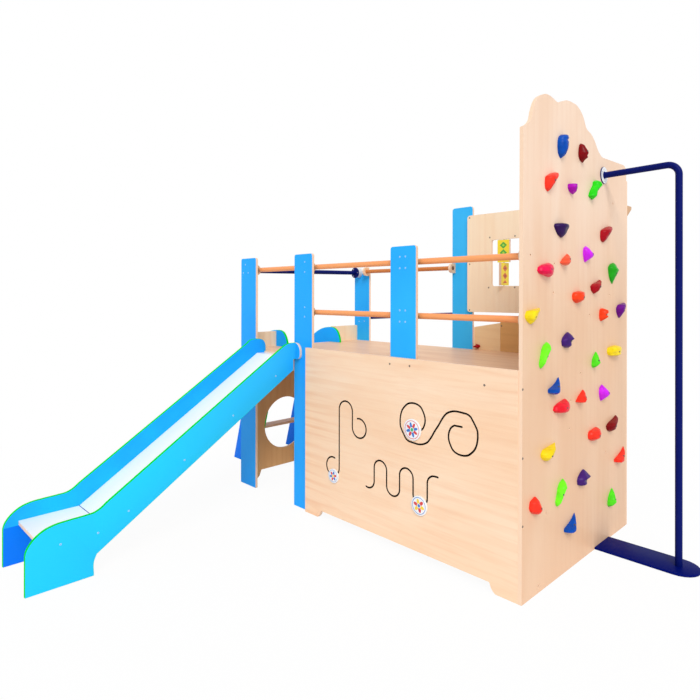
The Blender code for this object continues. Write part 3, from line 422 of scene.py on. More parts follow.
def add_piece(name, mesh, body, slot, *replaced):
    """Link a mesh as a piece that rides on a body and stands for some frame nodes."""
    piece = bpy.data.objects.new(name, mesh)
    bpy.context.scene.collection.objects.link(piece)
    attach(piece, body)
    if replaced:
        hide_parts(*replaced)
    return piece


def coated(mesh, *finishes, rule=None):
    """Give a mesh its finishes; the last one goes on the faces that a rule picks."""
    for finish in finishes:
        mesh.materials.append(finish)
    for face in mesh.polygons if rule else ():
        if rule(face):
            face.material_index = len(mesh.materials) - 1
    return mesh


def filled(mesh, shape, angle=38.0):
    """Write a bmesh into a mesh and shade it smooth, except at its sharp edges."""
    shape.to_mesh(mesh)
    shape.free()
    mesh.shade_smooth()
    mesh.set_sharp_from_angle(angle=math.radians(angle))
    return mesh


def welded(mesh):
    """A bmesh of a mesh, with its doubled points welded."""
    shape = bmesh.new()
    shape.from_mesh(mesh)
    bmesh.ops.remove_doubles(shape, verts=shape.verts, dist=0.00001)
    return shape


def melted(mesh):
    """A bmesh of a mesh, welded and with its flat triangles melted together."""
    shape = welded(mesh)
    bmesh.ops.recalc_face_normals(shape, faces=shape.faces)
    bmesh.ops.dissolve_limit(shape, angle_limit=math.radians(0.5), verts=shape.verts, edges=shape.edges)
    return shape


def bevelled(mesh, width=SANDED):
    """Round a mesh's sharp edges in place."""
    shape = melted(mesh)
    sharp = [e for e in shape.edges if len(e.link_faces) == 2 and e.calc_face_angle() > math.radians(40)]
    bmesh.ops.bevel(shape, geom=sharp, offset=width, offset_type="OFFSET", segments=2,
                    profile=0.5, affect="EDGES", clamp_overlap=True)
    bmesh.ops.triangulate(shape, faces=[f for f in shape.faces if len(f.verts) > 4])
    return filled(mesh, shape)


def softened(node, width=SANDED):
    """A copy of a frame node's mesh with its sharp edges rounded."""
    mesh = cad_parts[node].data.copy()
    mesh.name = node + "_soft"
    mesh.materials.clear()
    return bevelled(mesh, width)


def dressed(node, finish, slot, body=SHIP, width=SANDED, mesh=None):
    """Replace a frame node by its softened copy, or a mesh drawn for it, in a finish."""
    mesh = coated(mesh or softened(node, width), finish)
    piece = add_piece(node + "_board", mesh, body, slot, node)
    piece.modifiers.new("even_shading", "WEIGHTED_NORMAL").keep_sharp = True
    return piece


def curve_mesh(name, lines, closed, **settings):
    """The mesh of a curve along chains of points: a filled sheet or a round pipe."""
    curve = bpy.data.curves.new(name, "CURVE")
    for key, value in settings.items():
        setattr(curve, key, value)
    for line in lines:
        spline = curve.splines.new("POLY")
        spline.points.add(len(line) - 1)
        for point, place in zip(spline.points, line):
            point.co = (*place, 1.0)
        spline.use_cyclic_u = closed
    holder = bpy.data.objects.new(name, curve)
    bpy.context.scene.collection.objects.link(holder)
    bpy.context.view_layer.update()
    mesh = bpy.data.meshes.new_from_object(holder.evaluated_get(bpy.context.evaluated_depsgraph_get()))
    bpy.data.objects.remove(holder)
    mesh.materials.clear()
    return mesh


def standing(name, loops, through, low, high, width=SANDED):
    """A sheet across X or Y, from low to high, cut along closed loops of (sideways, up) points."""
    flat = [[(side, up, 0.0) for side, up in loop] for loop in loops]
    mesh = curve_mesh(name, flat, True, dimensions="2D", fill_mode="BOTH", extrude=(high - low) / 2)
    turn = Euler((math.pi / 2, 0.0, math.pi / 2 if through == "X" else 0.0)).to_matrix().to_4x4()
    middle = (X if through == "X" else Y) * (low + high) / 2
    filled(mesh, welded(mesh)).transform(Matrix.Translation(middle) @ turn)
    return bevelled(mesh, width)


def flowing(points, closed=False, steps=6, corner=35.0, straight=2.5):
    """A line through points that turns smoothly, except at its sharp corners.

    A span that is straight times as long as its neighbour stays a straight one.
    """
    line = [Vector(point) for point in points]
    count = len(line)
    tangents = []
    for i in range(count):
        before = line[i] - line[i - 1] if closed or i > 0 else line[1] - line[0]
        after = line[(i + 1) % count] - line[i] if closed or i < count - 1 else line[-1] - line[-2]
        a, b = before.normalized(), after.normalized()
        if a.dot(b) < math.cos(math.radians(corner)):
            tangents.append((a, b))
        elif before.length > straight * after.length:
            tangents.append((a, a))
        elif after.length > straight * before.length:
            tangents.append((b, b))
        else:
            tangents.append(((a * after.length + b * before.length).normalized(),) * 2)
    out = []
    for i in range(count if closed else count - 1):
        start, stop = line[i], line[(i + 1) % count]
        span = (stop - start).length
        leave, arrive = tangents[i][1] * span, tangents[(i + 1) % count][0] * span
        for t in (k / steps for k in range(steps)):
            t2, t3 = t * t, t * t * t
            out.append(tuple(start * (2 * t3 - 3 * t2 + 1) + leave * (t3 - 2 * t2 + t)
                             + stop * (3 * t2 - 2 * t3) + arrive * (t3 - t2)))
    return out if closed else out + [tuple(line[-1])]


def rims(node, axis, level):
    """The outline of a frame board and of its holes, as closed chains of corners on one flat side."""
    shape = melted(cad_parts[node].data)
    beside = {}
    for edge in shape.edges:
        flats = sum(abs(f.normal[axis]) > 0.9 for f in edge.link_faces)
        if flats == 1 and all(abs(vert.co[axis] - level) < 0.0001 for vert in edge.verts):
            for vert in edge.verts:
                beside.setdefault(vert, []).append(edge.other_vert(vert))
    chains = []
    while beside:
        chain = [next(iter(beside))]
        while chain[-1] in beside:
            onward = [vert for vert in beside.pop(chain[-1]) if vert in beside]
            if onward:
                chain.append(onward[0])
        chains.append([vert.co.copy() for vert in chain])
    shape.free()
    return chains


def flowed(node, through, straight=2.5):
    """A board drawn afresh along its frame node's outlines, with their facets turned into curves."""
    axis = AXES[through]
    side = 1 - axis
    low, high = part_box(node)
    loops = [[(min(max(a, low[side]), high[side]), min(max(b, low.z), high.z))
              for a, b in flowing([(corner[side], corner.z) for corner in chain], True, straight=straight)]
             for chain in rims(node, axis, low[axis])]
    return standing(node + "_flow", loops, through, low[axis], high[axis])


BACK_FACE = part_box("post_back_middle")[0].y
# The right front post and the back posts take lighter tones of the same paint: painted light.
BLUE_BOARDS = {
    "post_front_left": (BLUE, BLUE_SHADE), "post_front_middle": (BLUE, BLUE_SHADE),
    "post_front_right": (BLUE_IN_LIGHT, BLUE), "post_back_left": (BLUE_IN_LIGHT, BLUE),
    "post_back_middle": (BLUE_IN_MORE_LIGHT, BLUE_IN_LIGHT), "slide_lug": (BLUE, BLUE_SHADE),
}
for node, tones in BLUE_BOARDS.items():
    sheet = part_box("post_back_middle" if node.startswith("post_back") else node)
    dressed(node, painted("blue_" + node, "Y", sheet, tones), "blue_ply")
spacer = Finish("spacer_grey", roughness=0.55)
spacer.mottle(60.0, (0.70, 0.72, 0.74), (0.62, 0.64, 0.67))
coated(bpy.data.objects["post_back_left_board"].data, spacer.mat,
       rule=lambda face: face.center.y < BACK_FACE - 0.001)
green = Finish("green_edge_paint", roughness=0.60, specular=0.03)
green.mottle(9.0, GREEN, GREEN_DARK)
RUNOUT_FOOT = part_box("slide_runout")[0].z
# The near side is the paint made lighter as painted light, lighter still towards its foot. The far side is
# darker as painted shade, lighter towards its foot as painted light, and darkest below the run-out as painted
# shade. The stringers darken towards their feet as painted shade.
GREEN_EDGED = {
    "slide_side_near": ("X", (BLUE_IN_LIGHT, BLUE_IN_LIGHT), (BLUE_LIT_FOOT, BLUE_LIT_FOOT), None, 0.18),
    "slide_side_far": ("X", (BLUE_SHADE, BLUE_SHADE), (BLUE, BLUE_LIT_FOOT), (RUNOUT_FOOT, BLUE_IN_SHADE), 0.10),
    "stringer_near": ("Y", (BLUE, BLUE), (BLUE_IN_SHADE, BLUE_IN_SHADE), None, 0.05),
    "stringer_far": ("Y", (BLUE, BLUE), (BLUE_IN_SHADE, BLUE_IN_SHADE), None, 0.05),
}
for node, (through, face, *foot) in GREEN_EDGED.items():
    paint = painted("blue_" + node, through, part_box(node), face, (GREEN, GREEN_DARK), *foot)
    mesh = coated(flowed(node, through), paint, green.mat,
                  rule=lambda face: abs(face.normal[AXES[through]]) < 0.97)
    add_piece(node + "_board", mesh, SHIP, "blue_ply", node)
print("blue boards:", len(BLUE_BOARDS) + len(GREEN_EDGED))

# %% [markdown]
# ## Bare boards
# The groove board's grain runs along the ship, the upright sheets' grain runs up, and each gets
# its own shift of the pattern so that no two boards look cut from one picture.

# %% Birch boards
RIM = Vector((0.08, 0.0, 0.08))
# Two tints for painted shade on the end panel below the deck, darkest up under the deck.
UNDER_DECK_SHADE = ((0.880, 0.630, 0.395), (0.660, 0.410, 0.215))
SHADE_SPAN = (0.10, 0.85)
BARE_BOARDS = {
    "groove_board": ("Y", "X", BOARD_TONES, 0.40, 1.0),
    "end_panel": ("X", "Z", END_TONES, 0.30, 2.3),
    "window_panel": ("Y", "Z", WINDOW_TONES, 0.25, 3.1),
    "post_wall": ("Y", "Z", WALL_TONES, 0.25, 4.4),
    "deck_beam_front": ("Y", "X", BOARD_TONES, 0.50, 5.2),
    "deck_beam_back": ("Y", "X", BOARD_TONES, 0.50, 6.6),
    "toe_board_light": ("Y", "X", TOE_TONES, 0.30, 7.1),
    "slide_bed": ("X", "X", BOARD_TONES, 0.45, 8.5),
    "slide_runout": ("Z", "X", BOARD_TONES, 0.45, 9.3),
    "tread_low": ("Z", "Y", TREAD_TONES, 0.40, 10.7),
    "tread_high": ("Z", "Y", TREAD_TONES, 0.40, 11.9),
}
for node, (through, grain, tones, streaks, seed) in BARE_BOARDS.items():
    low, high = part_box(node)
    # The end panel darkens under the deck: painted shade.
    shade = (*UNDER_DECK_SHADE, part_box("deck")[0].z, *SHADE_SPAN) if node == "end_panel" else None
    slots = (low + RIM, high - RIM) if node == "groove_board" else None
    finish = birch("birch_" + node, through, grain, (low, high), tones, streaks, seed, shade, slots)
    dressed(node, finish, "birch_ply", mesh=flowed(node, through, straight=4.0) if slots else None)
# The dark toe board is the same birch as the light one in a darker tone: painted shade. The post wedge is a
# brown birch.
DARKER_BOARDS = {
    "toe_board_dark": ("Y", ((0.800, 0.480, 0.190), (0.720, 0.400, 0.140), (0.560, 0.290, 0.100)), 12.5),
    "post_wedge": ("X", ((0.640, 0.380, 0.210), (0.580, 0.330, 0.170), (0.460, 0.250, 0.120)), 13.1),
}
for node, (through, tones, seed) in DARKER_BOARDS.items():
    dressed(node, birch("darker_" + node, through, "X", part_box(node), tones, 0.4, seed), "brown_ply")
print("bare boards:", len(BARE_BOARDS) + len(DARKER_BOARDS))

# %% [markdown]
# Through the slots of the groove board one looks into the dark. A thin sheet of birch behind the
# board, just under the front beam, gives that dark: its side towards the slots is coloured
# near-black as painted shade, and its back is birch. It keeps daylight out of the slots and
# fingers off the washers.

# %% Slot backing
GAP = 0.0003
BACKING_THICK = 0.003
BACKING_FOOT = 0.10
BELOW_BEAM = 0.02
INSET_LEFT, INSET_RIGHT = 0.08, 0.06
low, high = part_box("groove_board")
beam_low, beam_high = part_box("deck_beam_front")
front = beam_high.y + GAP
corner_low = Vector((low.x + INSET_LEFT, front, BACKING_FOOT))
corner_high = Vector((high.x - INSET_RIGHT, front + BACKING_THICK, beam_low.z - BELOW_BEAM))
sides, ends = (corner_low.x, corner_high.x), (corner_low.z, corner_high.z)
loop = [(sides[0], ends[0]), (sides[1], ends[0]), (sides[1], ends[1]), (sides[0], ends[1])]
mesh = standing("slot_backing", [loop], "Y", corner_low.y, corner_high.y, 0.0008)
# The side towards the slots is near-black: painted shade.
dark = Finish("slot_backing", roughness=0.9, specular=0.1)
dark.mottle(50.0, SLOT_SHADE, (0.028, 0.022, 0.017))
rear = birch("birch_backing", "Y", "X", (corner_low, corner_high), END_TONES, 0.4, 15.4)
coated(mesh, dark.mat, rear, rule=lambda face: face.normal.y >= -0.5)
add_piece("slot_backing", mesh, SHIP, "birch_ply")
print("slot backing at", round(front, 4))

# %% [markdown]
# ## The deck
# Decks of this kind are film-faced sheet with a fine pressed mesh underfoot. The pinkish brown
# comes from the film. A small checker of bumps, a centimetre apart, gives the tread.

# %% Deck finish
DECK_TONES = ((0.920, 0.600, 0.380), (0.820, 0.490, 0.290))
MESH_PITCH = 0.010


def film_faced(name, box):
    f = Finish(name, roughness=0.5, coat=0.08, specular=0.3)
    cloud = f.noise(f.place((1.0, 14.0, 1.0)), 1.6, 4.0)
    stripes, flat = ply_edges(f, "Z", box)
    f.wire("Base Color", f.mix(flat, stripes, f.mix(f.ramp(cloud, 0.35, 0.65), *DECK_TONES)))
    checks = f.node("SeparateXYZ", f.place((2 * math.pi / MESH_PITCH,) * 3)).outputs
    f.bump(f.times(f.math("SINE", checks[0]), f.math("SINE", checks[1])), 0.25, 0.0006)
    return f.mat


dressed("deck", film_faced("film_deck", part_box("deck")), "deck_ply")
print("deck tread pitch", MESH_PITCH)

# %% [markdown]
# ## The climbing wall
# One tall sheet of pale birch with a wavy top. The frame's node carries lumps where holds are
# joined to it, so the sheet is drawn afresh as a filled curve: its outline, and a round hole for
# each fixing that has no hold in it. The frame's box fixes where it stands.

# %% Wall sheet
WALL_TOP = (
    (0.012, 2.110), (0.057, 2.132), (0.081, 2.154), (0.098, 2.198), (0.134, 2.259),
    (0.175, 2.287), (0.220, 2.305), (0.262, 2.308), (0.300, 2.303), (0.344, 2.296),
    (0.385, 2.310), (0.434, 2.327), (0.490, 2.334), (0.551, 2.333), (0.600, 2.316),
    (0.636, 2.290), (0.675, 2.240), (0.740, 2.219), (0.785, 2.190), (0.825, 2.152),
    (0.858, 2.132), (0.894, 2.123), (1.176, 2.131), (1.208, 2.129), (1.228, 2.119), (1.238, 2.098),
)
FIXING_HOLES = (
    (1.014, 1.887), (0.058, 1.545), (0.293, 1.515), (0.283, 1.377), (0.963, 1.367), (0.695, 1.262),
    (0.583, 0.963), (0.468, 0.838), (0.457, 0.699), (0.909, 0.495), (0.212, 0.346), (0.138, 0.032),
)
HOLE_R = 0.0055
WALL_LOW, WALL_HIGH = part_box("climbing_wall")
WALL_FACE = WALL_LOW.x + PLY


def ring_points(centre, radius, count=24):
    """Points round a circle, as (sideways, up)."""
    angles = [2 * math.pi * i / count for i in range(count)]
    return [(centre[0] + radius * math.cos(a), centre[1] + radius * math.sin(a)) for a in angles]


stretch = (WALL_HIGH.y - WALL_LOW.y) / WALL_TOP[-1][0]
crest = [(WALL_LOW.y + y * stretch, min(z, WALL_HIGH.z)) for y, z in flowing(WALL_TOP)]
outline = [(WALL_LOW.y, 0.0), (WALL_HIGH.y, 0.0)] + crest[::-1]
holes = [ring_points((at(0, y, z).y, z), HOLE_R) for y, z in FIXING_HOLES]
mesh = standing("climbing_sheet", [outline] + holes, "X", WALL_LOW.x, WALL_FACE, 0.0012)
wall_box = (WALL_LOW, Vector((WALL_FACE, WALL_HIGH.y, WALL_HIGH.z)))
# The wall is tinted darker and warmer towards the bottom.
WALL_DARKER_BELOW = ((0.900, 0.800, 0.690), (1.0, 1.0, 1.0), WALL_HIGH.z + 1.0, 1.20, 1.85)
coated(mesh, birch("birch_wall", "X", "Z", wall_box, WALL_TONES, 0.14, 14.2, WALL_DARKER_BELOW))
wall = add_piece("climbing_sheet", mesh, SHIP, "wall_ply", "climbing_wall")
wall.modifiers.new("even_shading", "WEIGHTED_NORMAL").keep_sharp = True
print("wall", round(WALL_HIGH.y - WALL_LOW.y, 3), "by", round(WALL_HIGH.z, 3), "fixing holes:", len(holes))

# %% [markdown]
# ## Climbing holds
# Holds are cast in coloured resin: lumpy, rounded, a little glossy, each with a deep bolt in the
# middle. A fine mesh, drawn by the outline of its kind and pushed about by smooth noise, reads as
# cast resin. It is flat where it meets the wall.

# %% Resin
RESINS = {
    "blue": (0.001, 0.070, 0.440), "dark_red": (0.220, 0.001, 0.004), "red": (0.980, 0.040, 0.020),
    "purple": (0.420, 0.004, 0.480), "green": (0.022, 0.700, 0.010), "plum": (0.028, 0.005, 0.088),
    "magenta": (0.640, 0.020, 0.880), "coral": (0.960, 0.110, 0.050), "crimson": (0.880, 0.007, 0.085),
    "leaf": (0.016, 0.400, 0.012), "cherry": (0.420, 0.003, 0.012), "orange": (0.980, 0.060, 0.012),
    "violet": (0.055, 0.013, 0.170), "berry": (0.160, 0.003, 0.270), "yellow": (0.960, 0.720, 0.012),
    "lime": (0.170, 0.960, 0.020), "grass": (0.090, 0.760, 0.018), "brick": (0.880, 0.013, 0.030),
}


def resin(name, colour):
    """Cast resin: slightly mottled, a little glossy, with hand-made lumps and a fine sandy relief."""
    f = Finish("resin_" + name, roughness=0.30, specular=0.11)
    mottle = f.ramp(f.noise(f.place(), 38.0, 4.0), 0.35, 0.65)
    f.wire("Base Color", f.mix(mottle, tuple(c * 0.80 for c in colour), colour))
    lumps = f.times(f.noise(f.place(), 45.0, 3.0), 8.0)
    f.bump(f.math("ADD", lumps, f.noise(f.place(), 700.0, 2.0)), 0.22, 0.0006)
    return f.mat


resins = {name: resin(name, colour) for name, colour in RESINS.items()}
print("resin colours:", len(resins))

# %% [markdown]
# The bolts and all the screws are plain zinc-plated steel: a light grey metal whose gloss
# varies a little from spot to spot.

# %% Zinc
def plated(name, low, high, metallic=1.0):
    f = Finish(name, roughness=0.35, metallic=metallic)
    f.gloss(0.30, 0.2, f.mottle(300.0, low, high))
    return f.mat


ZINC = plated("zinc_plate", (0.52, 0.53, 0.56), (0.72, 0.73, 0.76))
GREY_SCREW = plated("dark_screw", (0.060, 0.060, 0.066), (0.110, 0.105, 0.105), 0.4)
BLUE_SCREW = plated("screw_on_blue", (0.300, 0.560, 0.860), (0.420, 0.660, 0.900), 0.3)
print("plated finishes: 3")

# %% [markdown]
# A screw head is a shallow dome with a small socket. It is turned from a short profile: each
# profile point becomes a ring of vertices, and the innermost rings form the socket.

# %% Turned shapes and screw heads
SCREW_R = 0.0055
SCREW_HEAD = ((0.0, -0.2), (0.38, -0.2), (0.42, 0.26), (0.62, 0.27), (0.88, 0.18), (1.0, 0.02), (0.98, -0.10))


def towards(normal):
    """The turn that points a shape's own +Z along a normal."""
    return Z.rotation_difference(normal).to_matrix().to_4x4()


def turned(shape, profile, centre, normal, sides=24, scale=1.0):
    """Add a turned solid to a bmesh, from (radius, height) points down its outside."""
    spot = Matrix.Translation(centre) @ towards(normal) @ Matrix.Scale(scale, 4)
    rings = []
    for radius, height in profile:
        ring = ring_points((0.0, 0.0), radius, sides) if radius else [(0.0, 0.0)]
        rings.append([shape.verts.new(spot @ Vector((*point, height))) for point in ring])
    for upper, lower in zip(rings, rings[1:]):
        for i in range(sides):
            round_trip = ((upper, i), (lower, i), (lower, i + 1), (upper, i + 1))
            shape.faces.new(list(dict.fromkeys(ring[k % len(ring)] for ring, k in round_trip)))


def screw_heads(name, spots, normal, finish=ZINC, radius=SCREW_R):
    """One piece with a domed screw head at each spot, facing along the normal."""
    shape = bmesh.new()
    for spot in spots:
        turned(shape, SCREW_HEAD, spot, normal, 12, radius)
    mesh = filled(bpy.data.meshes.new(name), shape, 50)
    return add_piece(name, coated(mesh, finish), SHIP, "axle_steel")


print("screw radius", SCREW_R)

# %% [markdown]
# A hold is seen from the side here, so most of what shows is how far it stands off the wall.
# Each kind is therefore drawn by its shown outline: at a few heights, from the top down, how far
# it reaches to the left and to the right, in percent of half its size. Every level is an arch on
# the wall, and `lean` says how much longer a metre off the wall looks than a metre along it.

# %% Hold outlines
BOLT_R = 0.0055
BOLT = ((0.0, -0.3), (0.35, -0.3), (0.4, 0.12), (0.75, 0.16), (1.0, 0.0), (1.0, -1.5), (0.0, -1.5))
HOLD_OUT = 0.043
OUTLINES = {
    "teardrop": ((100, -15, 55), (85, -62, 88), (60, -84, 100), (44, -88, 72), (28, -95, 100),
        (-20, -98, 88), (-70, -87, 47), (-100, -70, -25)),
    "jug": ((100, -62, -35), (72, -85, 30), (40, -92, 58), (-15, -100, 100), (-42, -97, 70),
        (-56, -92, 90), (-82, -80, 30), (-100, -45, 0)),
    "slanted": ((100, 25, 75), (85, -10, 97), (50, -65, 98), (28, -93, 86), (-30, -98, 44), (-80, -93, -5),
        (-100, -75, -35)),
    "cube": ((100, -85, 35), (75, -97, 95), (10, -100, 100), (-50, -82, 85), (-85, -55, 50),
        (-100, -25, 20)),
    "peanut": ((100, -15, 35), (75, -38, 80), (40, -42, 100), (7, -62, 62), (-25, -80, 42),
        (-75, -100, 32), (-100, -80, -10)),
    "heart": ((100, -80, 80), (75, -97, 100), (40, -100, 98), (-10, -82, 70), (-60, -60, 42),
        (-100, -30, 5)),
    "arrow": ((100, -60, -35), (70, -92, 10), (20, -98, 80), (-5, -98, 100), (-40, -92, 62),
        (-100, -80, -55)),
    "peak": ((100, 10, 40), (50, -25, 76), (10, -62, 93), (-20, -75, 100), (-60, -100, 85),
        (-100, -62, 60)),
    "tapered": ((100, 15, 55), (65, -55, 86), (30, -92, 96), (-20, -100, 100), (-60, -78, 92),
        (-100, 10, 60)),
    "cone": ((100, -35, 10), (85, -70, 38), (55, -98, 62), (30, -97, 100), (-30, -85, 36), (-75, -62, -5),
        (-100, -38, -20)),
    "bean": ((100, 40, 75), (70, 5, 100), (35, -70, 97), (0, -100, 84), (-55, -88, 55), (-100, -55, -20)),
    "block": ((100, -30, 55), (75, -90, 90), (20, -100, 100), (-40, -95, 85), (-85, -70, 20),
        (-100, -45, -15)),
    "bracket": ((100, -85, 10), (70, -92, 92), (35, -98, 100), (5, -100, 62), (-30, -100, 92),
        (-60, -96, 35), (-100, -80, -45)),
    "leaf": ((100, 30, 85), (75, -70, 100), (30, -100, 100), (-20, -97, 62), (-70, -75, 10),
        (-100, -55, -30)),
    "bumps": ((100, 70, 95), (70, -75, 100), (20, -95, 75), (-20, -93, 58), (-65, -70, 30),
        (-100, -35, -10)),
    "slug": ((100, -5, 40), (80, -40, 80), (50, -62, 100), (5, -75, 50), (-60, -97, -2), (-100, -90, -55)),
    "comma": ((100, -30, 5), (70, -60, 45), (35, -85, 80), (18, -92, 100), (-5, -98, 50), (-60, -92, 50),
        (-100, -55, 15)),
    "hood": ((100, -20, 10), (55, -60, 58), (10, -87, 80), (-25, -92, 100), (-70, -97, 35),
        (-100, -80, -50)),
    "slab": ((100, -70, 60), (70, -97, 97), (0, -100, 100), (-60, -92, 97), (-100, -60, 70)),
    "fin": ((100, 55, 72), (50, 20, 92), (15, -25, 100), (-20, -97, 98), (-60, -100, 93), (-100, -50, 55)),
    "egg": ((100, -45, 10), (70, -90, 50), (10, -100, 92), (-30, -92, 100), (-75, -60, 75),
        (-100, -15, 30)),
}


def lean(point):
    """How much farther the picture moves for a step off the wall than for one along it."""
    turn = camera.rotation_euler.to_matrix()
    right, ahead = turn @ Vector((1, 0, 0)), turn @ Vector((0, 0, -1))
    away = point - camera.location
    along = right * away.dot(ahead) - ahead * away.dot(right)
    return along.x / along.y


def reach_at(outline, v):
    """The outline's left and right at a height, between its given levels."""
    for (high, *upper), (low, *lower) in zip(outline, outline[1:]):
        if v >= low:
            share = (high - v) / (high - low)
            return [a + (b - a) * share for a, b in zip(upper, lower)]
    return outline[-1][1:]


def hold_mesh(name, kind, shown, height, slope, seed):
    """A cast hold on the plane X = 0, from Y = 0 along the wall and level about Z = 0."""
    levels, columns = 30, 20
    outline = [[share / 100 for share in level] for level in OUTLINES[kind]]
    widest = max(right - left for _, left, right in outline) / 2 * shown
    out = min(HOLD_OUT, 0.85 * widest / slope)
    half = (widest ** 2 - (slope * out) ** 2) / (2 * widest)
    shape = bmesh.new()
    rows = []
    for j in range(levels + 1):
        v = math.sin(math.pi * (0.5 - j / levels))
        left, right = reach_at(outline, v)
        size = (right - left) / 2 * shown / widest * (1.0 - abs(v) ** 8) ** 0.35
        middle = ((left + right) / 2 + 1) / 2 * shown
        centre = middle - size * widest / 2 + half * size
        row = []
        for i in range(columns + 1):
            angle = math.pi * i / columns
            spot = Vector((math.sin(angle) * 1.3, math.cos(angle) * 1.3 + seed * 3.1, v * 1.3))
            lump = min(1.0, 0.94 + 0.14 * noise.noise(spot) + 0.05 * noise.noise(spot * 3.0))
            row.append(shape.verts.new((GAP + out * size * math.sin(angle) * lump,
                                        centre + half * size * math.cos(angle), v * height / 2)))
        rows.append(row)
    for upper, lower in zip(rows, rows[1:]):
        for i in range(columns):
            shape.faces.new((upper[i], lower[i], lower[i + 1], upper[i + 1]))
        shape.faces.new((upper[columns], lower[columns], lower[0], upper[0]))
    bmesh.ops.remove_doubles(shape, verts=shape.verts, dist=0.00002)
    bmesh.ops.recalc_face_normals(shape, faces=shape.faces)
    resin_faces = len(shape.faces)
    turned(shape, BOLT, rows[levels // 2][columns // 2].co.copy(), X, 16, BOLT_R)
    shape.faces.ensure_lookup_table()
    for face in shape.faces[resin_faces:]:
        face.material_index = 1
    return filled(bpy.data.meshes.new(name), shape, 50)


print("hold outlines:", len(OUTLINES))

# %% [markdown]
# Each row below is one hold: its outline, its colour, where it starts along the wall, its middle
# height, how wide it looks along the wall, and how tall it is. The first rows stand for holds
# that are nodes of their own in the frame.

# %% Hold table
OWN_NODES = {
    "hold_blue_pear": ("teardrop", "blue", 0.319, 2.091, 0.140, 0.122),
    "hold_green_peanut": ("peanut", "green", 0.676, 1.929, 0.193, 0.110),
    "hold_plum_heart": ("heart", "plum", 0.286, 1.679, 0.172, 0.070),
    "hold_crimson_wide": ("tapered", "crimson", 0.119, 1.483, 0.171, 0.067),
    "hold_yellow_round": ("bumps", "yellow", 0.003, 1.270, 0.151, 0.072),
    "hold_lime_pear": ("slug", "lime", 0.135, 1.086, 0.137, 0.118),
}
ON_WALL = (
    ("jug", "dark_red", 0.555, 2.098, 0.130, 0.097), ("slanted", "red", 0.190, 1.902, 0.149, 0.101),
    ("cube", "purple", 0.433, 1.897, 0.122, 0.050), ("slanted", "cherry", 0.831, 1.704, 0.185, 0.097),
    ("arrow", "magenta", 0.611, 1.579, 0.151, 0.085), ("peak", "coral", 0.347, 1.540, 0.133, 0.058),
    ("cone", "leaf", 0.942, 1.489, 0.177, 0.121), ("bean", "cherry", 0.704, 1.411, 0.160, 0.076),
    ("block", "orange", 0.483, 1.355, 0.167, 0.062), ("bracket", "orange", 0.821, 1.258, 0.139, 0.070),
    ("leaf", "berry", 1.062, 1.277, 0.162, 0.088), ("comma", "violet", 0.363, 1.143, 0.161, 0.078),
    ("hood", "grass", 0.719, 1.018, 0.127, 0.084), ("slab", "yellow", 0.931, 1.049, 0.220, 0.060),
    ("fin", "blue", 0.225, 0.930, 0.133, 0.077), ("peak", "red", 0.524, 0.844, 0.145, 0.062),
    ("arrow", "magenta", 0.818, 0.831, 0.165, 0.088), ("tapered", "brick", 0.277, 0.822, 0.186, 0.067),
    ("bean", "dark_red", 0.916, 0.637, 0.182, 0.079), ("block", "red", 0.675, 0.622, 0.183, 0.065),
    ("bumps", "yellow", 0.150, 0.624, 0.162, 0.071), ("fin", "red", 1.033, 0.437, 0.175, 0.078),
    ("comma", "violet", 0.541, 0.422, 0.177, 0.081), ("slug", "lime", 0.300, 0.408, 0.143, 0.119),
    ("hood", "grass", 0.936, 0.225, 0.144, 0.095), ("egg", "red", 0.046, 0.410, 0.134, 0.081),
    ("fin", "blue", 0.395, 0.226, 0.145, 0.079),
)


def place_hold(name, row, seed, *replaced):
    """Cast a hold of the table and fix it to the wall."""
    kind, colour, y, z, shown, height = row
    spot = Vector((WALL_FACE, CORNER.y + y, z))
    mesh = hold_mesh(name, kind, shown, height, lean(spot + Y * shown / 2), seed)
    mesh.transform(Matrix.Translation(spot))
    coated(mesh, resins[colour], GREY_SCREW)
    return add_piece(name, mesh, SHIP, "resin_" + colour if replaced else "wall_ply", *replaced)


for index, (node, row) in enumerate(OWN_NODES.items()):
    place_hold(node + "_cast", row, index, node)
for index, row in enumerate(ON_WALL):
    place_hold(f"hold_{index + 1:02d}_{row[1]}_{row[0]}", row, 10 + index)
print("holds on the wall:", len(OWN_NODES) + len(ON_WALL))

# %% [markdown]
# One more hold sits inside, low on the light toe board. It is cast like the others and turned to
# stand out towards the front, in the size that the frame gives it.

# %% Inner hold
low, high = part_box("hold_red_inner")
mesh = hold_mesh("hold_inner_cast", "arrow", 0.050, 0.034, 1.0, 40)
spans = [(min(values), max(values)) for values in zip(*(vert.co for vert in mesh.vertices))]
for vert in mesh.vertices:
    out, along, up = ((value - least) / (most - least) for value, (least, most) in zip(vert.co, spans))
    vert.co = [low[i] + share * (high[i] - low[i]) for i, share in enumerate((1.0 - along, 1.0 - out, up))]
add_piece("hold_inner_cast", coated(mesh, resins["cherry"]), SHIP, "resin_red", "hold_red_inner")
print("inner hold at", [round(v, 3) for v in (low + high) / 2])

# %% [markdown]
# ## Round rails
# The rails are turned beech under orange varnish. A rail's grain runs along it as long dark
# flecks. Each is a turned bar with a small chamfer at its ends, laid along X where the frame
# says.

# %% Rails
RAIL_TONES = ((0.920, 0.370, 0.135), (0.860, 0.300, 0.095), (0.700, 0.200, 0.055))
BACK_RAIL_TONES = ((0.660, 0.220, 0.045), (0.580, 0.180, 0.035), (0.440, 0.120, 0.020))
# Near-black brown for the rail ends: end grain, and painted shade where each end sits in its lug's hole.
END_GRAIN_AND_SHADE = (0.220, 0.075, 0.025)
RAIL_CHAMFER = 0.0015


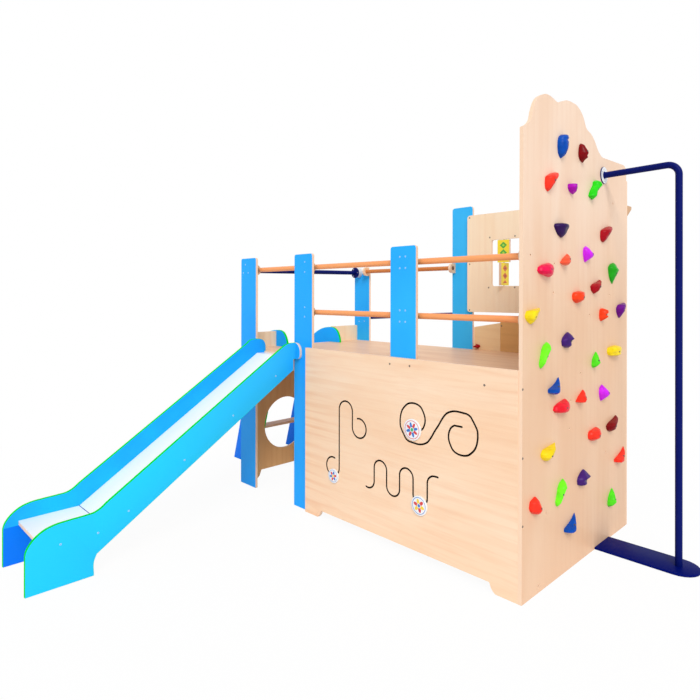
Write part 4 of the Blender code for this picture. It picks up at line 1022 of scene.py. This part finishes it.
def varnished(name, tones):
    f = Finish(name, roughness=0.45, coat=0.15, specular=0.3)
    flecks = f.noise(f.place((3.0, 60.0, 60.0)), 2.0, 5.0, 0.6)
    cloud = f.noise(f.place((1.2, 8.0, 8.0)), 1.5, 2.0)
    colour = f.mix(f.ramp(cloud, 0.3, 0.7), tones[0], tones[1])
    colour = f.mix(f.times(f.ramp(flecks, 0.52, 0.8), 0.5), colour, tones[2])
    # The bar's ends take that dark tone: end grain and painted shade.
    f.wire("Base Color", f.mix(f.ramp(f.facing(0), 0.6, 0.8), colour, END_GRAIN_AND_SHADE))
    f.bump(flecks, 0.1, 0.0004)
    return f.mat


def turned_bar(name, low, high):
    """A round bar along X that fills a box."""
    radius, half = (high.z - low.z) / 2, (high.x - low.x) / 2
    inner, short = radius - RAIL_CHAMFER, half - RAIL_CHAMFER
    profile = ((0.0, half), (inner, half), (radius, short), (radius, -short), (inner, -half), (0.0, -half))
    shape = bmesh.new()
    turned(shape, profile, (low + high) / 2, X, 40)
    return filled(bpy.data.meshes.new(name), shape)


RAIL_FINISH = varnished("beech_varnish", RAIL_TONES)
BACK_RAIL_FINISH = varnished("beech_varnish_back", BACK_RAIL_TONES)
RAILS = ("rail_upper_front_left", "rail_upper_front_right", "rail_lower_front_left",
         "rail_lower_front_right", "rail_back")
for node in RAILS:
    finish = BACK_RAIL_FINISH if node == "rail_back" else RAIL_FINISH
    mesh = coated(turned_bar(node + "_bar", *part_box(node)), finish)
    add_piece(node + "_bar", mesh, SHIP, "rail_wood", node)
print("rails:", len(RAILS))

# %% [markdown]
# The rails sit in small rings sawn from plywood. They are softened copies of the frame's
# lugs, in birch a little darker than the sheets because end grain drinks the varnish.

# %% Lugs
LUG_TONES = ((0.900, 0.620, 0.400), (0.840, 0.540, 0.320), (0.700, 0.400, 0.210))
LUGS = [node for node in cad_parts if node.startswith(("lug_", "ring_"))]
for index, node in enumerate(sorted(LUGS)):
    dressed(node, birch("birch_" + node, "X", "Z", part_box(node), LUG_TONES, 0.5, 20.0 + index), "birch_ply")
print("lugs:", len(LUGS))

# %% [markdown]
# ## Steel bars
# The bars are pipe under gloss navy powder coat, which has a faint orange-peel relief. A curve
# with a round bevel is the natural way to draw a bent pipe: the path needs only its straight
# ends and the points of each bend.

# %% Powder coat and pipes
PIPE_R = 0.0168
FLANGE_R = 0.046
FLANGE_THICK = 0.006
HALF_PLATE = FLANGE_THICK / 2
PLATE_EASE = 0.0012
COLLAR = 0.004
NAVY = ((0.0006, 0.0060, 0.1350), (0.0005, 0.0045, 0.1000))
PLATE_NAVY = ((0.0004, 0.0050, 0.1450), (0.0003, 0.0040, 0.1150))


def powder_coat(name, tones, specular=0.08):
    f = Finish(name, roughness=0.45, specular=specular)
    f.mottle(6.0, *tones, detail=2.0)
    f.bump(f.noise(f.place(), 260.0, 2.0), 0.08, 0.0005)
    return f.mat


NAVY_COAT = powder_coat("navy_powder_coat", NAVY)
# White for the face of the pole's wall flange: a painted reflection on the navy coat.
FLANGE_REFLECTION = plated("flange_painted_reflection", (0.800, 0.820, 0.850), (0.860, 0.870, 0.890), 0.0)


def bend(centre, radius, first, second, count=14):
    """Points of a quarter bend from one direction to another, as vectors from the centre."""
    steps = [math.pi / 2 * i / count for i in range(count + 1)]
    return [centre + radius * (math.cos(a) * first + math.sin(a) * second) for a in steps]


def steel_piece(name, node, points, plates, pale=None):
    """A pipe with its welded round plates in powder coat; the first plate's face along pale is coloured
    white, a painted reflection.
    """
    mesh = curve_mesh(name, [points], False, dimensions="3D", bevel_depth=PIPE_R, bevel_resolution=14,
                      use_fill_caps=True)
    shape = bmesh.new()
    shape.from_mesh(mesh)
    top, rim = HALF_PLATE, HALF_PLATE - PLATE_EASE
    for centre, normal, radius in plates:
        profile = ((0.0, top + COLLAR), (PIPE_R + COLLAR * 0.2, top + COLLAR), (PIPE_R + COLLAR, top),
                   (radius - PLATE_EASE, top), (radius, rim), (radius, -rim), (radius - PLATE_EASE, -top),
                   (0.0, -top))
        turned(shape, profile, centre, normal, 48)
    bmesh.ops.recalc_face_normals(shape, faces=shape.faces)
    filled(mesh, shape, 45)
    coated(mesh, NAVY_COAT, FLANGE_REFLECTION, rule=lambda face: (
        pale and face.normal.dot(pale) > 0.9 and len(face.vertices) > 3 and face.area < 0.001
        and (face.center - points[0]).length < FLANGE_R))
    return add_piece(name, mesh, SHIP, "navy_steel", node)


low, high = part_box("grab_bar")
GRAB_NEAR = Vector((CORNER.x - 0.700, low.y + HALF_PLATE, 1.538))
GRAB_FAR = Vector((CORNER.x - 0.714, high.y - HALF_PLATE, 1.555))
steel_piece("grab_pipe", "grab_bar", (GRAB_NEAR, GRAB_FAR),
            ((GRAB_NEAR, Y, FLANGE_R), (GRAB_FAR, -Y, FLANGE_R)))

low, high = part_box("fireman_pole")
ARM_Z = 2.026
BEND_R = 0.055
pole_foot = Vector((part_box("pole_base_plate")[1].x - 0.096, CORNER.y + 0.860, low.z))
centre = Vector((pole_foot.x - BEND_R, pole_foot.y, ARM_Z - BEND_R))
ARM_START = Vector((low.x + HALF_PLATE, CORNER.y + 0.880, ARM_Z))
steel_piece("pole_pipe", "fireman_pole", [ARM_START] + bend(centre, BEND_R, Z, X) + [pole_foot],
            ((ARM_START, X, FLANGE_R),), X)
print("pole stands", round(pole_foot.x - WALL_FACE, 3), "from the wall, arm at", ARM_Z)

# %% [markdown]
# The bar at the back leaves the left post level, runs out behind the ship and bends down to a
# round foot plate. Its path is read from its frame box in the same way.

# %% Rear bar and base plate
FOOT_R = 0.060
REAR_BEND = 0.120
REAR_Z = 1.167
low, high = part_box("rear_bar")
rear_x = (low.x + high.x) / 2
leg_y = high.y - FOOT_R
start = Vector((rear_x, low.y + HALF_PLATE, REAR_Z))
centre = Vector((rear_x, leg_y - REAR_BEND, REAR_Z - REAR_BEND))
foot = Vector((rear_x, leg_y, HALF_PLATE))
steel_piece("rear_pipe", "rear_bar", [start] + bend(centre, REAR_BEND, Z, Y) + [foot],
            ((start, Y, FLANGE_R), (foot, Z, FOOT_R)))
plate_mesh = coated(softened("pole_base_plate", 0.0015), powder_coat("navy_foot_plate", PLATE_NAVY, 0.03))
add_piece("pole_foot_plate", plate_mesh, SHIP, "navy_steel", "pole_base_plate")
print("rear bar runs to", round(leg_y, 3))

# %% [markdown]
# ## The slide's white sheet
# A thin sheet of white laminate runs down the bed and along the run-out. It is nearly plain, so
# it depends on its gloss, on faint streaks down its length, where clothes polish it, and on the
# thin dark joint at the bend, where the sloping part meets the level one.

# %% Laminate
SLIDE_BEND = 1.205
HALF_JOINT = 0.0022
JOINT_DARK = (0.16, 0.14, 0.24)


def laminate(name):
    f = Finish(name, roughness=0.28, coat=0.3)
    rubbed = f.noise(f.place((6.0, 1.0, 1.0)), 2.4, 4.0)
    sheet = f.mix(f.ramp(rubbed, 0.35, 0.7), (0.96, 0.965, 0.98), (0.93, 0.935, 0.96))
    from_joint = f.math("ABSOLUTE", f.math("SUBTRACT", f.parts()[1], CORNER.y - SLIDE_BEND))
    f.wire("Base Color", f.mix(f.below(from_joint, HALF_JOINT), sheet, JOINT_DARK))
    f.gloss(0.22, 0.15, rubbed)
    return f.mat


WHITE = laminate("white_laminate")
for node in ("slide_sheet", "slide_sill"):
    dressed(node, WHITE, "white_sheet", width=0.0008)
print("laminate laid")

# %% [markdown]
# ## Discs in the grooves
# Each disc is a turned piece: a printed front, a stem through the slot and a washer behind. The
# print is a plain pattern made for this lesson, a ring of coloured petals round a dot, drawn by
# angle and distance from the disc's centre so that it turns with the disc.

# %% Printed discs
DISC_SIDES = 64
DISC_EASE = 0.0012
STEM_R = 0.003
WASHER_R = 0.013
WASHER_EASE = 0.0008
PAPER, RIM_WHITE = (0.84, 0.85, 0.87), (0.80, 0.80, 0.80)
RED, SEA = (0.66, 0.03, 0.03), (0.03, 0.16, 0.55)
SUN_YELLOW, LEAF = (0.88, 0.60, 0.03), (0.05, 0.40, 0.10)


def petals(name, centre, radius, count, colours, turn):
    """White disc face with a ring of petals, a dot and a rim line."""
    f = Finish(name, roughness=0.30, coat=0.4)
    x, _, z = f.parts()
    u, v = f.math("SUBTRACT", x, centre.x), f.math("SUBTRACT", z, centre.z)
    far = f.math("DIVIDE", f.math("SQRT", f.math("ADD", f.times(u, u), f.times(v, v))), radius)
    waves = f.math("SINE", f.times(f.math("ADD", f.math("ARCTAN2", v, u), turn), count / 2))
    reach = f.math("ADD", 0.30, f.times(f.math("ABSOLUTE", waves), 0.40))
    ink = f.mix(f.math("GREATER_THAN", waves, 0.0), colours[0], colours[1])
    face = f.mix(f.between(0.24, far, reach), PAPER, ink)
    face = f.mix(f.below(far, 0.17), face, colours[2])
    face = f.mix(f.between(0.80, far, 0.86), face, colours[3])
    f.wire("Base Color", f.mix(f.ramp(f.facing(1), 0.6, 0.8), RIM_WHITE, face))
    f.bump(f.noise(f.place(), 180.0, 2.0), 0.05, 0.0003)
    return f.mat


DISCS = {
    "disc_left": ("left_disc", 6, (SEA, RED, SUN_YELLOW, SEA), 0.3),
    "disc_middle": ("middle_disc", 8, (RED, SEA, LEAF, RED), 0.1),
    "disc_right": ("right_disc", 6, (RED, SUN_YELLOW, SEA, SEA), 0.8),
}
board_low, board_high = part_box("groove_board")
face_y, behind = board_low.y - GAP, board_high.y + GAP
for node, (body, count, colours, turn) in DISCS.items():
    low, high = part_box(node)
    radius, centre = (high.x - low.x) / 2, (low + high) / 2
    front, rear, ease = low.y, high.y, DISC_EASE
    profile = ((0.0, front), (radius - ease * 2, front), (radius - ease * 0.6, front + ease * 0.4),
               (radius, front + ease * 1.5), (radius, face_y - ease), (radius - ease, face_y),
               (STEM_R, face_y), (STEM_R, behind), (WASHER_R - 0.0005, behind), (WASHER_R, behind + 0.0005),
               (WASHER_R, rear - WASHER_EASE), (WASHER_R - WASHER_EASE, rear), (0.0, rear))
    shape = bmesh.new()
    turned(shape, [(r, -y) for r, y in profile], (centre.x, 0.0, centre.z), -Y, DISC_SIDES)
    mesh = filled(bpy.data.meshes.new(node + "_print"), shape, 40)
    coated(mesh, petals(node + "_print", centre, radius, count, colours, turn))
    add_piece(node + "_print", mesh, body, "white_sheet", node)
print("discs:", len(DISCS))

# %% [markdown]
# ## Turning plates
# Two yellow plates turn on an upright axle in the window. Each carries a column of small
# lozenges, leaf green on the upper plate and orange on the lower one. The pattern is drawn in the
# plate's own coordinates: across the plate, and up it.

# %% Printed plates
LOZENGE_PITCH = 0.052
LOZENGE_SIZE = 0.0250
HEART_SIZE = 0.010
HALF_BAND = 0.062
HALF_PRINT = 0.0440
YELLOW_TONES = ((0.960, 0.780, 0.010), (0.930, 0.720, 0.008))


def lozenges(name, box, turn, inks):
    """Yellow paint with a column of small lozenges, on both faces of a plate."""
    f = Finish(name, roughness=0.36, coat=0.3)
    x, y, v = (f.math("SUBTRACT", part, middle) for part, middle in zip(f.parts(), (box[0] + box[1]) / 2))
    u = f.math("ABSOLUTE", f.math("ADD", f.times(x, math.cos(turn)), f.times(y, math.sin(turn))))
    up = f.math("PINGPONG", f.math("ADD", v, 1.0), LOZENGE_PITCH / 2)
    size = f.math("ADD", f.times(u, 0.9), up)
    flake = f.noise(f.place(), 30.0, 3.0)
    paint = f.mix(f.ramp(flake, 0.35, 0.7), *YELLOW_TONES)
    printed = f.times(f.below(size, LOZENGE_SIZE), f.below(f.math("ABSOLUTE", v), HALF_BAND))
    face = f.mix(printed, paint, f.mix(f.below(size, HEART_SIZE), *inks))
    f.wire("Base Color", f.mix(f.below(u, HALF_PRINT), EDGE_DARK, face))
    f.bump(flake, 0.06, 0.0004)
    return f.mat


PLATES = {
    "plate_upper": ("upper_plate", 0.0, ((0.060, 0.420, 0.030), (0.360, 0.700, 0.030))),
    "plate_lower": ("lower_plate", 85.5, ((0.720, 0.160, 0.010), (0.300, 0.050, 0.010))),
}
for node, (body, turn, inks) in PLATES.items():
    finish = lozenges(node + "_print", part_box(node), math.radians(turn), inks)
    dressed(node, finish, "yellow_ply", body, 0.0010)
axle_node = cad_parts["window_axle"]
axle_node.data.materials.clear()
axle_node.data.materials.append(ZINC)
print("plates:", len(PLATES))

# %% [markdown]
# ## Screws
# Screw heads tell a reader how big the ship is. Rows of them hold the rail lugs to the posts, the
# groove board to what is behind it, and the slide's sides to its bed.

# %% Screw rows
LUG_PAIRS = (1.568, 1.507, 1.282, 1.222)
SCREWS = {
    "post_screws": (-Y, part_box("post_front_left")[0].y, BLUE_SCREW, [
        (-0.702, 1.581), (-0.728, 1.522), (-0.665, 1.521), (-0.031, 1.573), (-0.031, 1.509),
        (-0.031, 1.285), (-0.031, 1.225), *[(x, z) for x in (0.763, 0.802) for z in LUG_PAIRS]]),
    "board_screws": (-Y, board_low.y, GREY_SCREW, [(0.709, 0.993), (0.847, 0.994), (1.295, 0.947)]),
    "back_post_screws": (-Y, BACK_FACE, BLUE_SCREW, [(-0.713, 1.133), (-0.651, 1.136)]),
    "window_screws": (-Y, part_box("window_panel")[0].y, GREY_SCREW, [
        (0.430, 1.922), (0.430, 1.587), (0.430, 1.256), (0.587, 1.417), (0.788, 1.417), (0.596, 1.768),
        (0.790, 1.765), (1.050, 1.417), (1.050, 1.766)]),
    "wall_screws": (X, WALL_FACE, GREY_SCREW, [(-0.009, 0.345), (-0.009, 0.645), (-0.009, 0.949)]),
    "slide_screws": (X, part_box("slide_side_near")[1].x, BLUE_SCREW, [
        (-1.417, 0.198), (-1.247, 0.201), (-1.097, 0.268), (-0.791, 0.462), (-0.484, 0.659),
        (-0.178, 0.858)]),
    "toe_screws": (-Y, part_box("toe_board_dark")[0].y, GREY_SCREW, [(0.668, 1.150)]),
}
for name, (normal, face, finish, spots) in SCREWS.items():
    places = [(face, CORNER.y + side, z) if normal.x else (CORNER.x + side, face, z) for side, z in spots]
    screw_heads(name, places, normal, finish)
print("screws:", sum(len(spots) for *_, spots in SCREWS.values()))

# %% [markdown]
# Three screws hold each flange of the steel bars, at equal angles round the pipe.

# %% Flange screws
SCREW_RING_R = 0.034
SMALL_SCREW_R = 0.0045


def flange_screws(name, centre, normal):
    """Three screw heads round a flange."""
    ring = ring_points((0.0, 0.0), SCREW_RING_R, 3)
    spots = [centre + towards(normal) @ Vector((*point, 0.0)) for point in ring]
    screw_heads(name, spots, normal, radius=SMALL_SCREW_R)


flange_screws("grab_screws_near", GRAB_NEAR + Y * HALF_PLATE, Y)
flange_screws("grab_screws_far", GRAB_FAR - Y * HALF_PLATE, -Y)
flange_screws("pole_screws", ARM_START + X * HALF_PLATE, X)
flange_screws("rear_screws", start + Y * HALF_PLATE, Y)
print("flange screws: 12")
